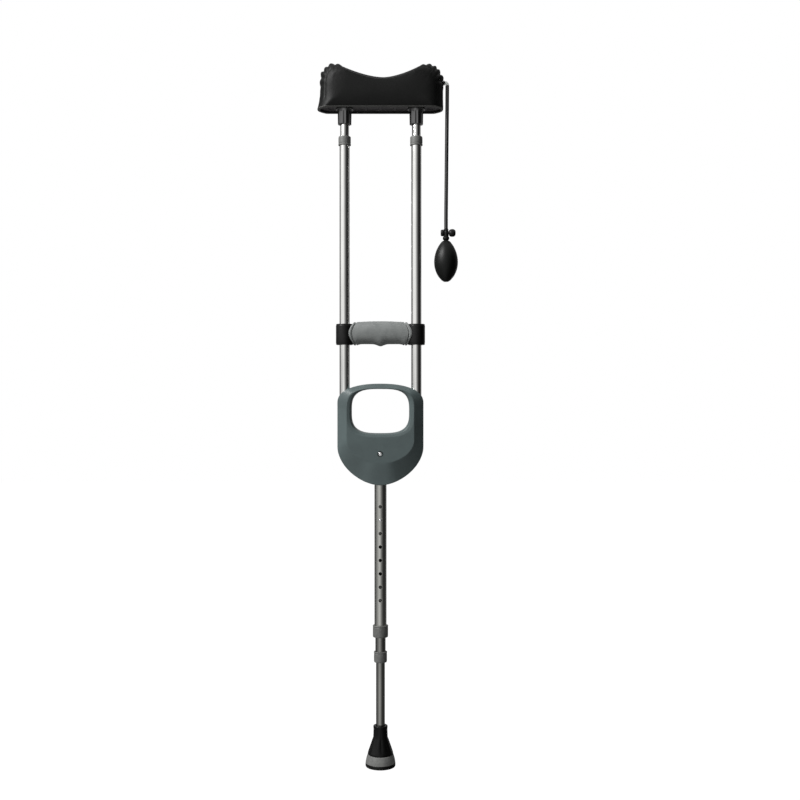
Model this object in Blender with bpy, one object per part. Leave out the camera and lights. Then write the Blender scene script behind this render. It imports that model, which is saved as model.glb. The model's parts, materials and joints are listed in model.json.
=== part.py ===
"""Underarm crutch with an inflatable armpit pad, two side tubes, a moulded yoke and a telescoping leg.

Metres. X runs across the crutch, Y towards its back, Z up. The origin is the middle of the foot's sole.
"""
import math

import bmesh
import bpy
from mathutils import Matrix, Vector

for leftover in list(bpy.data.objects):
    bpy.data.objects.remove(leftover, do_unlink=True)

# Fits
FIT = 0.0003            # gap between neighbouring pieces
HOLE_PLAY = 0.0004      # gap round a button, peg or screw in its hole
OVERCUT = 0.001         # how far a cutter runs past the surface it opens
ROUND = 20              # facets of a large round piece
SMALL_ROUND = 12        # facets of a small one
HOLE_ROUND = 8          # facets of a small hole
FLAT = 0.3              # degrees within which neighbouring faces of the yoke are one face

# Rubber foot
SOLE_RADIUS = 0.0282
SOLE_EDGE = 0.0014
SOLE_GROOVE_DEPTH = 0.0015
SOLE_GROOVES = ((0.0095, 0.0125), (0.0180, 0.0210))
TREAD_HEIGHT = 0.0064
BAND_HEIGHT = 0.0158
BAND_TOP_RADIUS = 0.0243
BAND_THICKNESS = 0.0052
SKIRT_RADIUS = 0.0237
SKIRT_OVER_BAND = 0.0030
FLARE_HEIGHT = 0.0287
NECK_RADIUS = 0.0134
NECK_HEIGHT = 0.0216
SOCKET_FLOOR_OVER_TREAD = 0.0056
WASHER_THICKNESS = 0.0015
WASHER_BORE = 0.0025
FLUTES = 10
FLUTE_DEPTH = 0.0011

# Leg tubes, smallest first; each next one clears the one inside it
LOWER_TUBE_RADIUS = 0.0083
LOWER_TUBE_WALL = 0.0012
LOWER_TUBE_LENGTH = 0.3109
MIDDLE_TUBE_WALL = 0.0010
MIDDLE_TUBE_SHOWN = 0.0470       # from its collar's end up to the upper tube's end
MIDDLE_TUBE_OVER_BUTTON = 0.0385
UPPER_LEG_WALL = 0.0014
UPPER_LEG_LENGTH = 0.3650
HOLE_PITCH = 0.0250
LEG_HOLES = 8
BUTTON_IN_LEG_HOLE = 2          # counted from the top
LOWER_LOCK_HOLES = 5
BUTTON_BELOW_LOWER_TOP = 0.0135
LOCK_HOLE_OVER_MIDDLE_END = 0.1135
LEG_HOLE_OVER_UPPER_END = 0.0665

# Leg and side collars
COLLAR_WALL = 0.0032
COLLAR_HEIGHT = 0.0219
LOWER_COLLAR_WALL = 0.0028
LOWER_COLLAR_HEIGHT = 0.0197
COLLAR_LIP = 0.0028
COLLAR_EDGE = 0.0013
SIDE_COLLAR_WALL = 0.0022
SIDE_COLLAR_HEIGHT = 0.0165

# Snap buttons
BUTTON_RADIUS = 0.0029
BUTTON_PROUD = 0.0012
LOWER_BUTTON_PROUD = 0.0001
BUTTON_DOME = 0.0010
CLIP_WIDTH = 0.0050
CLIP_STRIP = 0.0006
CLIP_LEG = 0.0080
CLIP_TAIL = 0.0050
CLIP_BEND = 0.0300

# Yoke housing: heights are counted from its front screw
YOKE_SCREW_BELOW_LEG_TOP = 0.0250
YOKE_HALF_WIDTH = 0.0805
YOKE_TOP = 0.1313
YOKE_SHOULDER = 0.0950
YOKE_HIP = 0.0125
YOKE_BOTTOM = -0.0583
YOKE_TOP_POWER = 2.3
YOKE_BOTTOM_POWER = 1.8
YOKE_HALF_DEPTH = 0.0180
YOKE_SIDE_DEPTH = 0.0060
YOKE_LEG_COVER = 0.0082         # how far the bottom edge swells over the leg tube
YOKE_LEG_COVER_WIDTH = 0.0280
YOKE_TUBE_COVER = 0.0064        # how far each shoulder swells over its side tube
YOKE_TUBE_COVER_WIDTH = 0.0140
YOKE_TUBE_COVER_FADE = 0.0100
YOKE_WALL = 0.0025
YOKE_FRONT_WALL = 0.0035
CREST_HALF_WIDTH = 0.0629
CREST_TOP = 0.1252
CREST_SHOULDER = 0.0830
CREST_HIP = 0.0270
CREST_BOTTOM = -0.0170
WINDOW_HALF_WIDTH = 0.0536
WINDOW_HALF_HEIGHT = 0.0412
WINDOW_CENTRE = 0.0800
WINDOW_POWER = 3.2
LIP_SIDE = 0.0087               # the window's bevel: how far its lip lies outside the opening
LIP_BELOW = 0.0074
LIP_ABOVE = 0.0037
BEVEL_DEPTH = 0.0025
LIP_ROUND_DEPTH = 0.0055
YOKE_POINTS = 40
RIB = 0.0025
YOKE_RIB_OVER_TUBE_END = 0.0780
YOKE_RIB_OVER_BOTTOM = 0.0180
YOKE_SCREW_RADIUS = 0.0025
YOKE_SCREW_HEAD_RADIUS = 0.0043
YOKE_SCREW_HEAD = 0.0028
YOKE_RECESS = 0.0038
YOKE_RECESS_RADIUS = 0.0054
YOKE_BOSS_RADIUS = 0.0068
NUT_RADIUS = 0.0046
NUT_THICKNESS = 0.0040
REAR_SCREW_RADIUS = 0.0015
REAR_SCREW_HEAD_RADIUS = 0.0030
REAR_SCREW_HEAD = 0.0020
REAR_SCREW_BOSS_RADIUS = 0.0042
REAR_SCREW_LENGTH = 0.0200
REAR_SCREWS = ((-0.0420, 0.0180), (0.0420, 0.0180), (-0.0300, -0.0200), (0.0300, -0.0200))

# Side tubes and the pad tubes inside them
TUBE_SPACING = 0.1344
PAD_TUBE_RADIUS = 0.0083
PAD_TUBE_WALL = 0.0010
PAD_TUBE_LENGTH = 0.2270
SIDE_TUBE_WALL = 0.0010
SIDE_TUBE_LENGTH = 0.5760
SIDE_TUBE_OVER_SCREW = 0.0150
GRIP_HOLE_RADIUS = 0.0030
GRIP_HOLE_PITCH = 0.04125
GRIP_HOLES = 8
GRIP_OVER_TUBE_END = 0.2085
PAD_HOLES = 5
PAD_TOP_HOLE_BELOW_TUBE_TOP = 0.0360
PAD_BUTTON_OVER_TUBE_END = 0.0450
DRAIN_HOLE_RADIUS = 0.0022
DRAIN_HOLES_BELOW_TUBE_TOP = (0.0470, 0.1840)
YOKE_PEG_RADIUS = 0.0030
YOKE_PEG_OVER_TUBE_END = 0.0580

# Handgrip
CLAMP_WALL = 0.0064
CLAMP_HEIGHT = 0.0391
CLAMP_EDGE = 0.0008
GRIP_TOP = 0.0248               # heights and depths are counted from the pegs' axis
GRIP_CROWN = 0.0035
GRIP_BOTTOM = -0.0182
GRIP_HALF_DEPTH = 0.0165
GRIP_END_HALF_DEPTH = 0.0148
GRIP_END_GAP = 0.0004
GRIP_MIDDLE_RIDGE = 0.0040
GRIP_MIDDLE_RIDGE_WIDTH = 0.0130
GRIP_END_RIDGE = 0.0026
GRIP_END_RIDGE_AT = 0.0466
GRIP_END_RIDGE_WIDTH = 0.0060
GRIP_SECTIONS = 18
GRIP_FACETS = 16
CORE_HALF_HEIGHT = 0.0150
CORE_HALF_DEPTH = 0.0110
CORE_HALF_LENGTH = 0.0480
CORE_WEB = 0.0120
ARM_HALF_HEIGHT = 0.0105
ARM_HALF_DEPTH = 0.0070
ARM_END = 0.0220
ARM_WALL = 0.0030
PEG_RADIUS = 0.0026
PEG_TIP = 0.0076                # from the side tube's axis
LATCH_PLATE_AT = 0.0420
LATCH_PLATE = 0.0020
LATCH_HALF_HEIGHT = 0.0050
LATCH_TAB_PROUD = 0.0030
LATCH_TRAVEL = 0.0026
LATCH_LEAF = 0.0009
LATCH_LEAF_WAVE = 0.0055
LATCH_LEAF_HALF_WIDTH = 0.0030
GRIP_SCREW_AT = 0.0300
GRIP_SCREW_RADIUS = 0.0014
GRIP_SCREW_HEAD_RADIUS = 0.0028
GRIP_SCREW_HEAD = 0.0017

# Pad
SOCKET_WALL = 0.0042
SOCKET_TAPER = 0.0005
SOCKET_DEPTH = 0.0206
SOCKET_ROOF = 0.0102
SOCKET_FLANGE_RADIUS = 0.0165
SOCKET_FLANGE = 0.0034
SOCKET_RIBS = 12
SOCKET_RIB_DEPTH = 0.0007
PLATE_THICKNESS = 0.0040
PLATE_RECESS = 0.0042
PAD_SCREW_RADIUS = 0.0020
PAD_SCREW_HEAD_RADIUS = 0.0040
PAD_SCREW_HEAD = 0.0022
PAD_SCREW_LENGTH = 0.0110
PAD_HALF_LENGTH = 0.1178
PAD_LEFT_WAIST = 0.0034         # how far each end draws in above the base
PAD_RIGHT_WAIST = 0.0008
PAD_FLARE_HEIGHT = 0.0220
PAD_HEIGHT = 0.0868
PAD_SADDLE_HEIGHT = 0.0610
PAD_SADDLE_AT = 0.0055
PAD_HORN_AT = 0.0830
PAD_SADDLE_POWER = 1.65
PAD_END_POWER = 2.6
PAD_END_ARC_HEIGHT = 0.0455
PAD_BASE_HALF_DEPTH = 0.0275
PAD_HALF_DEPTH = 0.0330
PAD_CROWN_RADIUS = 0.0380
PAD_UNDERCUT = 0.0140
PAD_WALL = 0.0040
BLADDER_WALL = 0.0015
PAD_LEVELS = (-1.0, -0.9, -0.72, -0.4, 0.0, 0.4, 0.72, 0.9, 1.0)
CHAMBER_LEVELS = (-1.0, -0.82, -0.45, 0.0, 0.45, 0.82, 1.0)
GATHERS = 6
GATHER_DEPTH = 0.0024
GATHER_HALF_DEPTH = 0.0230

# Air line
NIPPLE_OVER_PAD_BASE = 0.0513
NIPPLE_RADIUS = 0.0030
NIPPLE_BORE = 0.0012
NIPPLE_INSIDE = 0.0095
NIPPLE_FLANGE_RADIUS = 0.0046
NIPPLE_FLANGE = 0.0015
NIPPLE_STUB = 0.0018
ELBOW_BARREL_RADIUS = 0.0044
ELBOW_BARREL = 0.0025
ELBOW_RADIUS = 0.0034
ELBOW_BEND = 0.0036
ELBOW_BORE = 0.0015
HOSE_RADIUS = 0.0035
# The hose's route from the elbow's mouth, chosen by hand
HOSE_ROUTE = (
    (0.0000, 0.0000, 0.0000),
    (0.0000, 0.0000, -0.0100),
    (-0.0001, 0.0001, -0.0250),
    (-0.0002, 0.0003, -0.0420),
    (-0.0004, 0.0006, -0.0600),
    (-0.0006, 0.0009, -0.0790),
    (-0.0008, 0.0012, -0.0980),
    (-0.0010, 0.0014, -0.1180),
    (-0.0012, 0.0014, -0.1380),
    (-0.0014, 0.0013, -0.1580),
    (-0.0016, 0.0011, -0.1780),
    (-0.0018, 0.0008, -0.1980),
    (-0.0020, 0.0005, -0.2170),
    (-0.0022, 0.0002, -0.2350),
    (-0.0023, 0.0001, -0.2500),
    (-0.0023, 0.0000, -0.2600),
    (-0.0023, 0.0000, -0.2680),
)
HOSE_POINTS = 24
VALVE_RADIUS = 0.0048
VALVE_BARREL = 0.0150
VALVE_CROSS_OVER_BOTTOM = 0.0070
VALVE_CROSS_RADIUS = 0.0036
VALVE_CAP_RADIUS = 0.0062
VALVE_CAP = 0.0055
VALVE_CAP_AT = 0.0042
VALVE_SPIGOT_RADIUS = 0.0028
VALVE_SPIGOT = 0.0080
KNOB_RADIUS = 0.0072
KNOB_LENGTH = 0.0130
KNOB_AT = 0.0052
KNOB_SPINDLE_RADIUS = 0.0016
KNOB_SPINDLE = 0.0060
KNOB_FLUTES = 10
KNOB_FLUTE_DEPTH = 0.0005
BULB_RADIUS = 0.0224
BULB_UPPER = 0.0430
BULB_LOWER = 0.0390
BULB_CUT = 0.915                # the flat end, as a share of the lower half
BULB_POWER = 0.71
BULB_WALL = 0.0025
BULB_NECK_RADIUS = 0.0062
BULB_NECK = 0.0072
INLET_RADIUS = 0.0035
INLET_FLANGE_RADIUS = 0.0046
INLET_FLANGE = 0.0010
INLET_LENGTH = 0.0045
INLET_BORE = 0.0008


# Sizes and heights that follow from the ones above
middle_tube_radius = LOWER_TUBE_RADIUS + FIT + MIDDLE_TUBE_WALL
upper_leg_radius = middle_tube_radius + FIT + UPPER_LEG_WALL
side_tube_radius = PAD_TUBE_RADIUS + FIT + SIDE_TUBE_WALL
tube_x = TUBE_SPACING / 2
button_hole = BUTTON_RADIUS + HOLE_PLAY
peg_hole = PEG_RADIUS + HOLE_PLAY

band_top = TREAD_HEIGHT + FIT + BAND_HEIGHT
skirt_bottom = band_top + FIT
neck_bottom = skirt_bottom + SKIRT_OVER_BAND + FLARE_HEIGHT
foot_top = neck_bottom + NECK_HEIGHT
socket_floor = TREAD_HEIGHT + SOCKET_FLOOR_OVER_TREAD
lower_tube_end = socket_floor + FIT + WASHER_THICKNESS + FIT
lower_tube_top = lower_tube_end + LOWER_TUBE_LENGTH
lower_button_z = lower_tube_top - BUTTON_BELOW_LOWER_TOP
middle_tube_end = lower_button_z - LOCK_HOLE_OVER_MIDDLE_END
upper_leg_end = middle_tube_end + MIDDLE_TUBE_SHOWN
lowest_leg_hole = upper_leg_end + LEG_HOLE_OVER_UPPER_END
middle_button_z = lowest_leg_hole + (LEG_HOLES - BUTTON_IN_LEG_HOLE) * HOLE_PITCH
middle_tube_top = middle_button_z + MIDDLE_TUBE_OVER_BUTTON
middle_tube_length = middle_tube_top - middle_tube_end
upper_leg_top = upper_leg_end + UPPER_LEG_LENGTH
yoke_z = upper_leg_top - YOKE_SCREW_BELOW_LEG_TOP
side_tube_end = yoke_z + SIDE_TUBE_OVER_SCREW
side_tube_top = side_tube_end + SIDE_TUBE_LENGTH
yoke_peg_z = side_tube_end + YOKE_PEG_OVER_TUBE_END
grip_z = side_tube_end + GRIP_OVER_TUBE_END
pad_button_z = side_tube_top - PAD_TOP_HOLE_BELOW_TUBE_TOP - (PAD_HOLES - 1) * HOLE_PITCH
pad_tube_end = pad_button_z - PAD_BUTTON_OVER_TUBE_END
pad_tube_top = pad_tube_end + PAD_TUBE_LENGTH
socket_bottom = pad_tube_top + FIT - SOCKET_DEPTH
socket_top = pad_tube_top + FIT + SOCKET_ROOF
plate_z = socket_top + FIT
pad_base = plate_z - PLATE_RECESS
plate_top = plate_z + PLATE_THICKNESS
nipple_z = pad_base + NIPPLE_OVER_PAD_BASE
nipple_x = PAD_HALF_LENGTH - PAD_RIGHT_WAIST + FIT
elbow_x = nipple_x + NIPPLE_FLANGE + FIT
hose_x = elbow_x + ELBOW_BARREL + ELBOW_BEND
hose_z = nipple_z - ELBOW_BEND - FIT
valve_x = hose_x + HOSE_ROUTE[-1][0]
valve_y = HOSE_ROUTE[-1][1]
valve_top = hose_z + HOSE_ROUTE[-1][2] - FIT
valve_bottom = valve_top - VALVE_BARREL
valve_cross_z = valve_bottom + VALVE_CROSS_OVER_BOTTOM
bulb_top = valve_bottom - FIT
bulb_centre = bulb_top - BULB_NECK - BULB_UPPER * 0.94
bulb_bottom = bulb_centre - BULB_LOWER * BULB_CUT


# Materials: colour, roughness, metallic
def finish(name, colour, roughness, metallic=0.0):
    material = bpy.data.materials.new(name)
    material.use_nodes = True
    shader = material.node_tree.nodes["Principled BSDF"]
    shader.inputs["Base Color"].default_value = (*colour, 1.0)
    shader.inputs["Roughness"].default_value = roughness
    shader.inputs["Metallic"].default_value = metallic
    return material


BRIGHT_TUBE = finish("bright_tube", (0.80, 0.80, 0.79), 0.22, 1.0)
DARK_TUBE = finish("dark_tube", (0.30, 0.30, 0.28), 0.32, 1.0)
STEEL = finish("steel", (0.62, 0.62, 0.62), 0.25, 1.0)
YOKE_PLASTIC = finish("yoke_plastic", (0.075, 0.098, 0.098), 0.45)
COLLAR_PLASTIC = finish("collar_plastic", (0.16, 0.16, 0.155), 0.55)
BLACK_PLASTIC = finish("black_plastic", (0.012, 0.012, 0.012), 0.42)
GRIP_RUBBER = finish("grip_rubber", (0.23, 0.24, 0.24), 0.62)
BLACK_RUBBER = finish("black_rubber", (0.010, 0.011, 0.010), 0.50)
BAND_RUBBER = finish("band_rubber", (0.18, 0.185, 0.175), 0.60)
PAD_SKIN = finish("pad_skin", (0.014, 0.015, 0.014), 0.48)
BLADDER_SKIN = finish("bladder_skin", (0.10, 0.10, 0.10), 0.60)
CLEAR_PLASTIC = finish("clear_plastic", (0.80, 0.82, 0.80), 0.10)


# Each moving group hangs on an empty that sits on its joint's axis
def joint_axis(name, at, parent=None):
    empty = bpy.data.objects.new(name, None)
    bpy.context.scene.collection.objects.link(empty)
    empty["at"] = at
    empty.parent = parent
    empty.location = Vector(at) - (Vector(parent["at"]) if parent else Vector())
    return empty


def place(piece, at, parent):
    piece.parent = parent
    piece.location = Vector(at) - (Vector(parent["at"]) if parent else Vector())


pad_slide = joint_axis("pad_slide_axis", (0, 0, pad_tube_end))
grip_slide = joint_axis("grip_slide_axis", (0, 0, grip_z))
middle_slide = joint_axis("middle_leg_slide_axis", (0, 0, middle_tube_end))
lower_slide = joint_axis("lower_leg_slide_axis", (0, 0, lower_tube_end), middle_slide)
hose_swing = joint_axis("hose_swing_axis", (elbow_x, 0, nipple_z), pad_slide)


# Shapes
def add_object(name, bm, material, at=(0, 0, 0), parent=None):
    bmesh.ops.recalc_face_normals(bm, faces=bm.faces)
    mesh = bpy.data.meshes.new(name)
    bm.to_mesh(mesh)
    bm.free()
    piece = bpy.data.objects.new(name, mesh)
    bpy.context.scene.collection.objects.link(piece)
    if material:
        mesh.materials.append(material)
    mesh.shade_smooth()
    mesh.set_sharp_from_angle(angle=math.radians(30))
    place(piece, at, parent)
    return piece


def spun(profile, segments=ROUND, warp=None):
    """A profile of (radius, height) turned about Z: a closed loop, or an open line that ends on the axis."""
    bm = bmesh.new()
    verts = [bm.verts.new((radius, 0, height)) for radius, height in profile]
    edges = [bm.edges.new(pair) for pair in zip(verts, verts[1:])]
    if profile[0][0] > 0:
        edges.append(bm.edges.new((verts[-1], verts[0])))
    bmesh.ops.spin(
        bm, geom=verts + edges, cent=(0, 0, 0), axis=(0, 0, 1), angle=math.tau, steps=segments, use_merge=True
    )
    bmesh.ops.remove_doubles(bm, verts=bm.verts, dist=1e-6)
    if warp:
        for vert in bm.verts:
            vert.co = warp(vert.co)
    return bm


def turned(name, material, profile, at, parent=None, segments=ROUND, warp=None, turn=None):
    bm = spun(profile, segments, warp)
    if turn:
        bmesh.ops.transform(bm, matrix=turn, verts=bm.verts)
    return add_object(name, bm, material, at, parent)


ALONG_X = Matrix.Rotation(math.radians(90), 4, "Y")
ALONG_MINUS_X = Matrix.Rotation(math.radians(-90), 4, "Y")
ALONG_Y = Matrix.Rotation(math.radians(-90), 4, "X")
ALONG_MINUS_Y = Matrix.Rotation(math.radians(90), 4, "X")


def add_rod(bm, start, end, radius, segments=SMALL_ROUND, end_radius=None):
    start, end = Vector(start), Vector(end)
    turn = (end - start).to_track_quat("Z", "Y").to_matrix().to_4x4()
    bmesh.ops.create_cone(
        bm,
        cap_ends=True,
        segments=segments,
        radius1=radius,
        radius2=radius if end_radius is None else end_radius,
        depth=(end - start).length,
        matrix=Matrix.Translation((start + end) / 2) @ turn,
    )


def add_box(bm, low, high):
    low, high = Vector(low), Vector(high)
    size = Matrix.Diagonal((*(high - low), 1))
    bmesh.ops.create_cube(bm, size=1.0, matrix=Matrix.Translation((low + high) / 2) @ size)


def add_strip(bm, outline, half_width):
    """A closed outline in the XZ plane, extruded both ways along Y."""
    face = bm.faces.new([bm.verts.new((x, -half_width, z)) for x, z in outline])
    grown = bmesh.ops.extrude_face_region(bm, geom=[face])["geom"]
    moved = [item for item in grown if isinstance(item, bmesh.types.BMVert)]
    bmesh.ops.translate(bm, vec=(0, 2 * half_width, 0), verts=moved)


def loft(rings, capped):
    """Rings of equally many points, walled in order; the last ring joins the first unless the ends are capped."""
    bm = bmesh.new()
    loops = [[bm.verts.new(point) for point in ring] for ring in rings]
    pairs = list(zip(loops, loops[1:]))
    if not capped:
        pairs.append((loops[-1], loops[0]))
    for near, far in pairs:
        for i in range(len(near)):
            bm.faces.new((near[i - 1], near[i], far[i], far[i - 1]))
    if capped:
        bm.faces.new(loops[0])
        bm.faces.new(loops[-1])
    bmesh.ops.triangulate(bm, faces=bm.faces)
    return bm


def tool(name, rods=(), boxes=(), bm=None):
    """A cutter or a joined shape: closed bodies that lie apart in one hidden mesh."""
    bm = bm or bmesh.new()
    for rod in rods:
        add_rod(bm, *rod)
    for box in boxes:
        add_box(bm, *box)
    shape = add_object(name, bm, None)
    shape.hide_render = True
    shape.display_type = "WIRE"
    return shape


def boolean(piece, shape, operation, solver):
    step = piece.modifiers.new(f"{operation.lower()}_{shape.name}", "BOOLEAN")
    step.operation = operation
    step.solver = solver
    step.object = shape


def cut(piece, shape, solver="EXACT"):
    boolean(piece, shape, "DIFFERENCE", solver)


def fuse(piece, shape, solver="EXACT"):
    boolean(piece, shape, "UNION", solver)


def tube(name, material, radius, wall, x, bottom, length, parent=None):
    inner = radius - wall
    profile = ((radius, 0), (radius, length), (inner, length), (inner, 0))
    return turned(name, material, profile, (x, 0, bottom), parent)


def hole(start, end, radius):
    """A small hole, wide enough that its flats clear the radius."""
    return start, end, radius / math.cos(math.pi / HOLE_ROUND), HOLE_ROUND


def pierce_y(name, piece, x, radius, heights, side, reach):
    """Round holes through one wall of an upright tube: side is -1 for the front and 1 for the back."""
    cut(piece, tool(name, [hole((x, 0, z), (x, side * reach, z), radius) for z in heights]))


# Foot
def make_foot():
    bore = LOWER_TUBE_RADIUS + FIT
    grooves = []
    for inner, outer in SOLE_GROOVES:
        grooves += [(inner, 0), (inner, SOLE_GROOVE_DEPTH), (outer, SOLE_GROOVE_DEPTH), (outer, 0)]
    sole = [(0, 0), *grooves, (SOLE_RADIUS - SOLE_EDGE, 0), (SOLE_RADIUS, SOLE_EDGE), (SOLE_RADIUS, TREAD_HEIGHT)]
    turned("foot_tread", BLACK_RUBBER, [*sole, (0, TREAD_HEIGHT)], (0, 0, 0), lower_slide)

    core = BAND_TOP_RADIUS - BAND_THICKNESS
    low, high = TREAD_HEIGHT + FIT, band_top
    middle = (low + high) / 2
    band = (
        (SOLE_RADIUS - FIT, low),
        ((SOLE_RADIUS + BAND_TOP_RADIUS) / 2 + FIT, middle),
        (BAND_TOP_RADIUS, high),
        (core, high),
        (core, low),
    )
    turned("foot_band", BAND_RUBBER, band, (0, 0, 0), lower_slide)

    flare = [
        (SKIRT_RADIUS, skirt_bottom),
        (SKIRT_RADIUS, skirt_bottom + SKIRT_OVER_BAND),
        *[
            (
                NECK_RADIUS + (SKIRT_RADIUS - NECK_RADIUS) * (1 - share) ** 1.15,
                skirt_bottom + SKIRT_OVER_BAND + FLARE_HEIGHT * share,
            )
            for share in (0.3, 0.65, 1.0)
        ],
    ]
    boot = [
        (0, low),
        (core - FIT, low),
        (core - FIT, skirt_bottom),
        *flare,
        (NECK_RADIUS, foot_top),
        (bore, foot_top),
        (bore, socket_floor),
        (0, socket_floor),
    ]

    def fluted(point):
        share = (point.z - skirt_bottom) / (neck_bottom - skirt_bottom)
        if not 0.05 < share < 0.99 or point.xy.length < bore + FIT:
            return point
        depth = FLUTE_DEPTH * math.sin(math.pi * min(share, 1.0)) ** 0.6
        shrink = 1 - depth * (0.5 - 0.5 * math.cos(FLUTES * math.atan2(point.y, point.x))) / point.xy.length
        return Vector((point.x * shrink, point.y * shrink, point.z))

    turned("foot_boot", BLACK_RUBBER, boot, (0, 0, 0), lower_slide, segments=FLUTES * 2, warp=fluted)
    washer = (
        (WASHER_BORE, 0),
        (LOWER_TUBE_RADIUS, 0),
        (LOWER_TUBE_RADIUS, WASHER_THICKNESS),
        (WASHER_BORE, WASHER_THICKNESS),
    )
    turned("foot_washer", STEEL, washer, (0, 0, socket_floor + FIT), lower_slide)


# Telescoping leg
def make_collar(name, x, tube_radius, inner_radius, wall, height, tube_end, parent=None, upside_down=False):
    """A guide collar on a tube's end: it wraps the tube, and its lip closes in on the tube that slides inside."""
    outside = tube_radius + wall
    profile = [
        (outside - COLLAR_EDGE, 0),
        (outside, COLLAR_EDGE * 2),
        (outside, height - COLLAR_EDGE),
        (outside - COLLAR_EDGE, height),
        (tube_radius + FIT, height),
        (tube_radius + FIT, COLLAR_LIP),
        (inner_radius + FIT, COLLAR_LIP),
        (inner_radius + FIT, 0),
    ]
    bottom = tube_end - FIT - COLLAR_LIP
    turn = None
    if upside_down:
        turn = Matrix.Rotation(math.pi, 4, "X")
        bottom = tube_end + FIT + COLLAR_LIP
    turned(name, COLLAR_PLASTIC, profile, (x, 0, bottom), parent, turn=turn)


def make_leg():
    lower = tube(
        "leg_lower_tube", DARK_TUBE, LOWER_TUBE_RADIUS, LOWER_TUBE_WALL, 0, lower_tube_end, LOWER_TUBE_LENGTH,
        lower_slide,
    )
    pierce_y("lower_tube_hole", lower, 0, button_hole, [lower_button_z], -1, upper_leg_radius)

    middle = tube(
        "leg_middle_tube", DARK_TUBE, middle_tube_radius, MIDDLE_TUBE_WALL, 0, middle_tube_end,
        middle_tube_length, middle_slide,
    )
    locks = [lower_button_z + i * HOLE_PITCH for i in range(LOWER_LOCK_HOLES)]
    pierce_y("middle_tube_holes", middle, 0, button_hole, [*locks, middle_button_z], -1, upper_leg_radius)

    upper = tube(
        "leg_upper_tube", DARK_TUBE, upper_leg_radius, UPPER_LEG_WALL, 0, upper_leg_end, UPPER_LEG_LENGTH
    )
    holes = [lowest_leg_hole + i * HOLE_PITCH for i in range(LEG_HOLES)]
    pierce_y("upper_leg_holes", upper, 0, button_hole, holes, -1, upper_leg_radius + OVERCUT)
    reach = upper_leg_radius + OVERCUT
    screw_hole = hole((0, -reach, yoke_z), (0, reach, yoke_z), YOKE_SCREW_RADIUS + HOLE_PLAY)
    cut(upper, tool("upper_leg_screw_hole", [screw_hole]))

    make_collar(
        "leg_upper_collar", 0, upper_leg_radius, middle_tube_radius, COLLAR_WALL, COLLAR_HEIGHT, upper_leg_end
    )
    make_collar(
        "leg_lower_collar", 0, middle_tube_radius, LOWER_TUBE_RADIUS, LOWER_COLLAR_WALL, LOWER_COLLAR_HEIGHT,
        middle_tube_end, middle_slide,
    )


# Snap buttons: each is one bent strip of spring steel that carries its button
def snap_button(name, x, z, tube_inside, tip, side, parent):
    """side is -1 for a button that faces the front and 1 for one that faces the back."""
    leg = math.sqrt((tube_inside - FIT) ** 2 - (CLIP_WIDTH / 2) ** 2)
    inside = leg - CLIP_STRIP
    nose = 2 * CLIP_STRIP
    outline = [
        (leg, -CLIP_TAIL),
        (leg, CLIP_LEG),
        (nose, CLIP_BEND),
        (-nose, CLIP_BEND),
        (-leg, CLIP_LEG),
        (-leg, -CLIP_TAIL),
        (-inside, -CLIP_TAIL),
        (-inside, CLIP_LEG),
        (-nose / 2, CLIP_BEND - 2 * CLIP_STRIP),
        (nose / 2, CLIP_BEND - 2 * CLIP_STRIP),
        (inside, CLIP_LEG),
        (inside, -CLIP_TAIL),
    ]
    bm = bmesh.new()
    add_strip(bm, outline, CLIP_WIDTH / 2)
    quarter_turn = Matrix.Rotation(math.radians(90 * side), 4, "Z")
    bmesh.ops.transform(bm, matrix=quarter_turn, verts=bm.verts)
    axis = joint_axis(f"{name}_axis", (x, 0, z), parent)
    clip = add_object(name, bm, STEEL, (x, 0, z), axis)
    root = side * (inside + CLIP_STRIP / 4)
    shoulder = side * (tip - BUTTON_DOME)
    button = spun(
        (
            (0, abs(root)),
            (BUTTON_RADIUS, abs(root)),
            (BUTTON_RADIUS, abs(shoulder)),
            (BUTTON_RADIUS * 0.72, tip - BUTTON_DOME * 0.3),
            (0, tip),
        ),
        SMALL_ROUND,
    )
    bmesh.ops.transform(button, matrix=ALONG_Y if side > 0 else ALONG_MINUS_Y, verts=button.verts)
    bmesh.ops.translate(button, vec=(x, 0, z), verts=button.verts)
    fuse(clip, tool(f"{name}_stud", bm=button))


def make_snap_buttons():
    snap_button(
        "leg_snap_button", 0, middle_button_z, middle_tube_radius - MIDDLE_TUBE_WALL,
        upper_leg_radius + BUTTON_PROUD, -1, middle_slide,
    )
    snap_button(
        "lower_snap_button", 0, lower_button_z, LOWER_TUBE_RADIUS - LOWER_TUBE_WALL,
        middle_tube_radius + LOWER_BUTTON_PROUD, -1, lower_slide,
    )
    for side, label in ((-1, "left"), (1, "right")):
        snap_button(
            f"pad_snap_button_{label}", side * tube_x, pad_button_z, PAD_TUBE_RADIUS - PAD_TUBE_WALL,
            side_tube_radius + BUTTON_PROUD, 1, pad_slide,
        )


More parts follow.
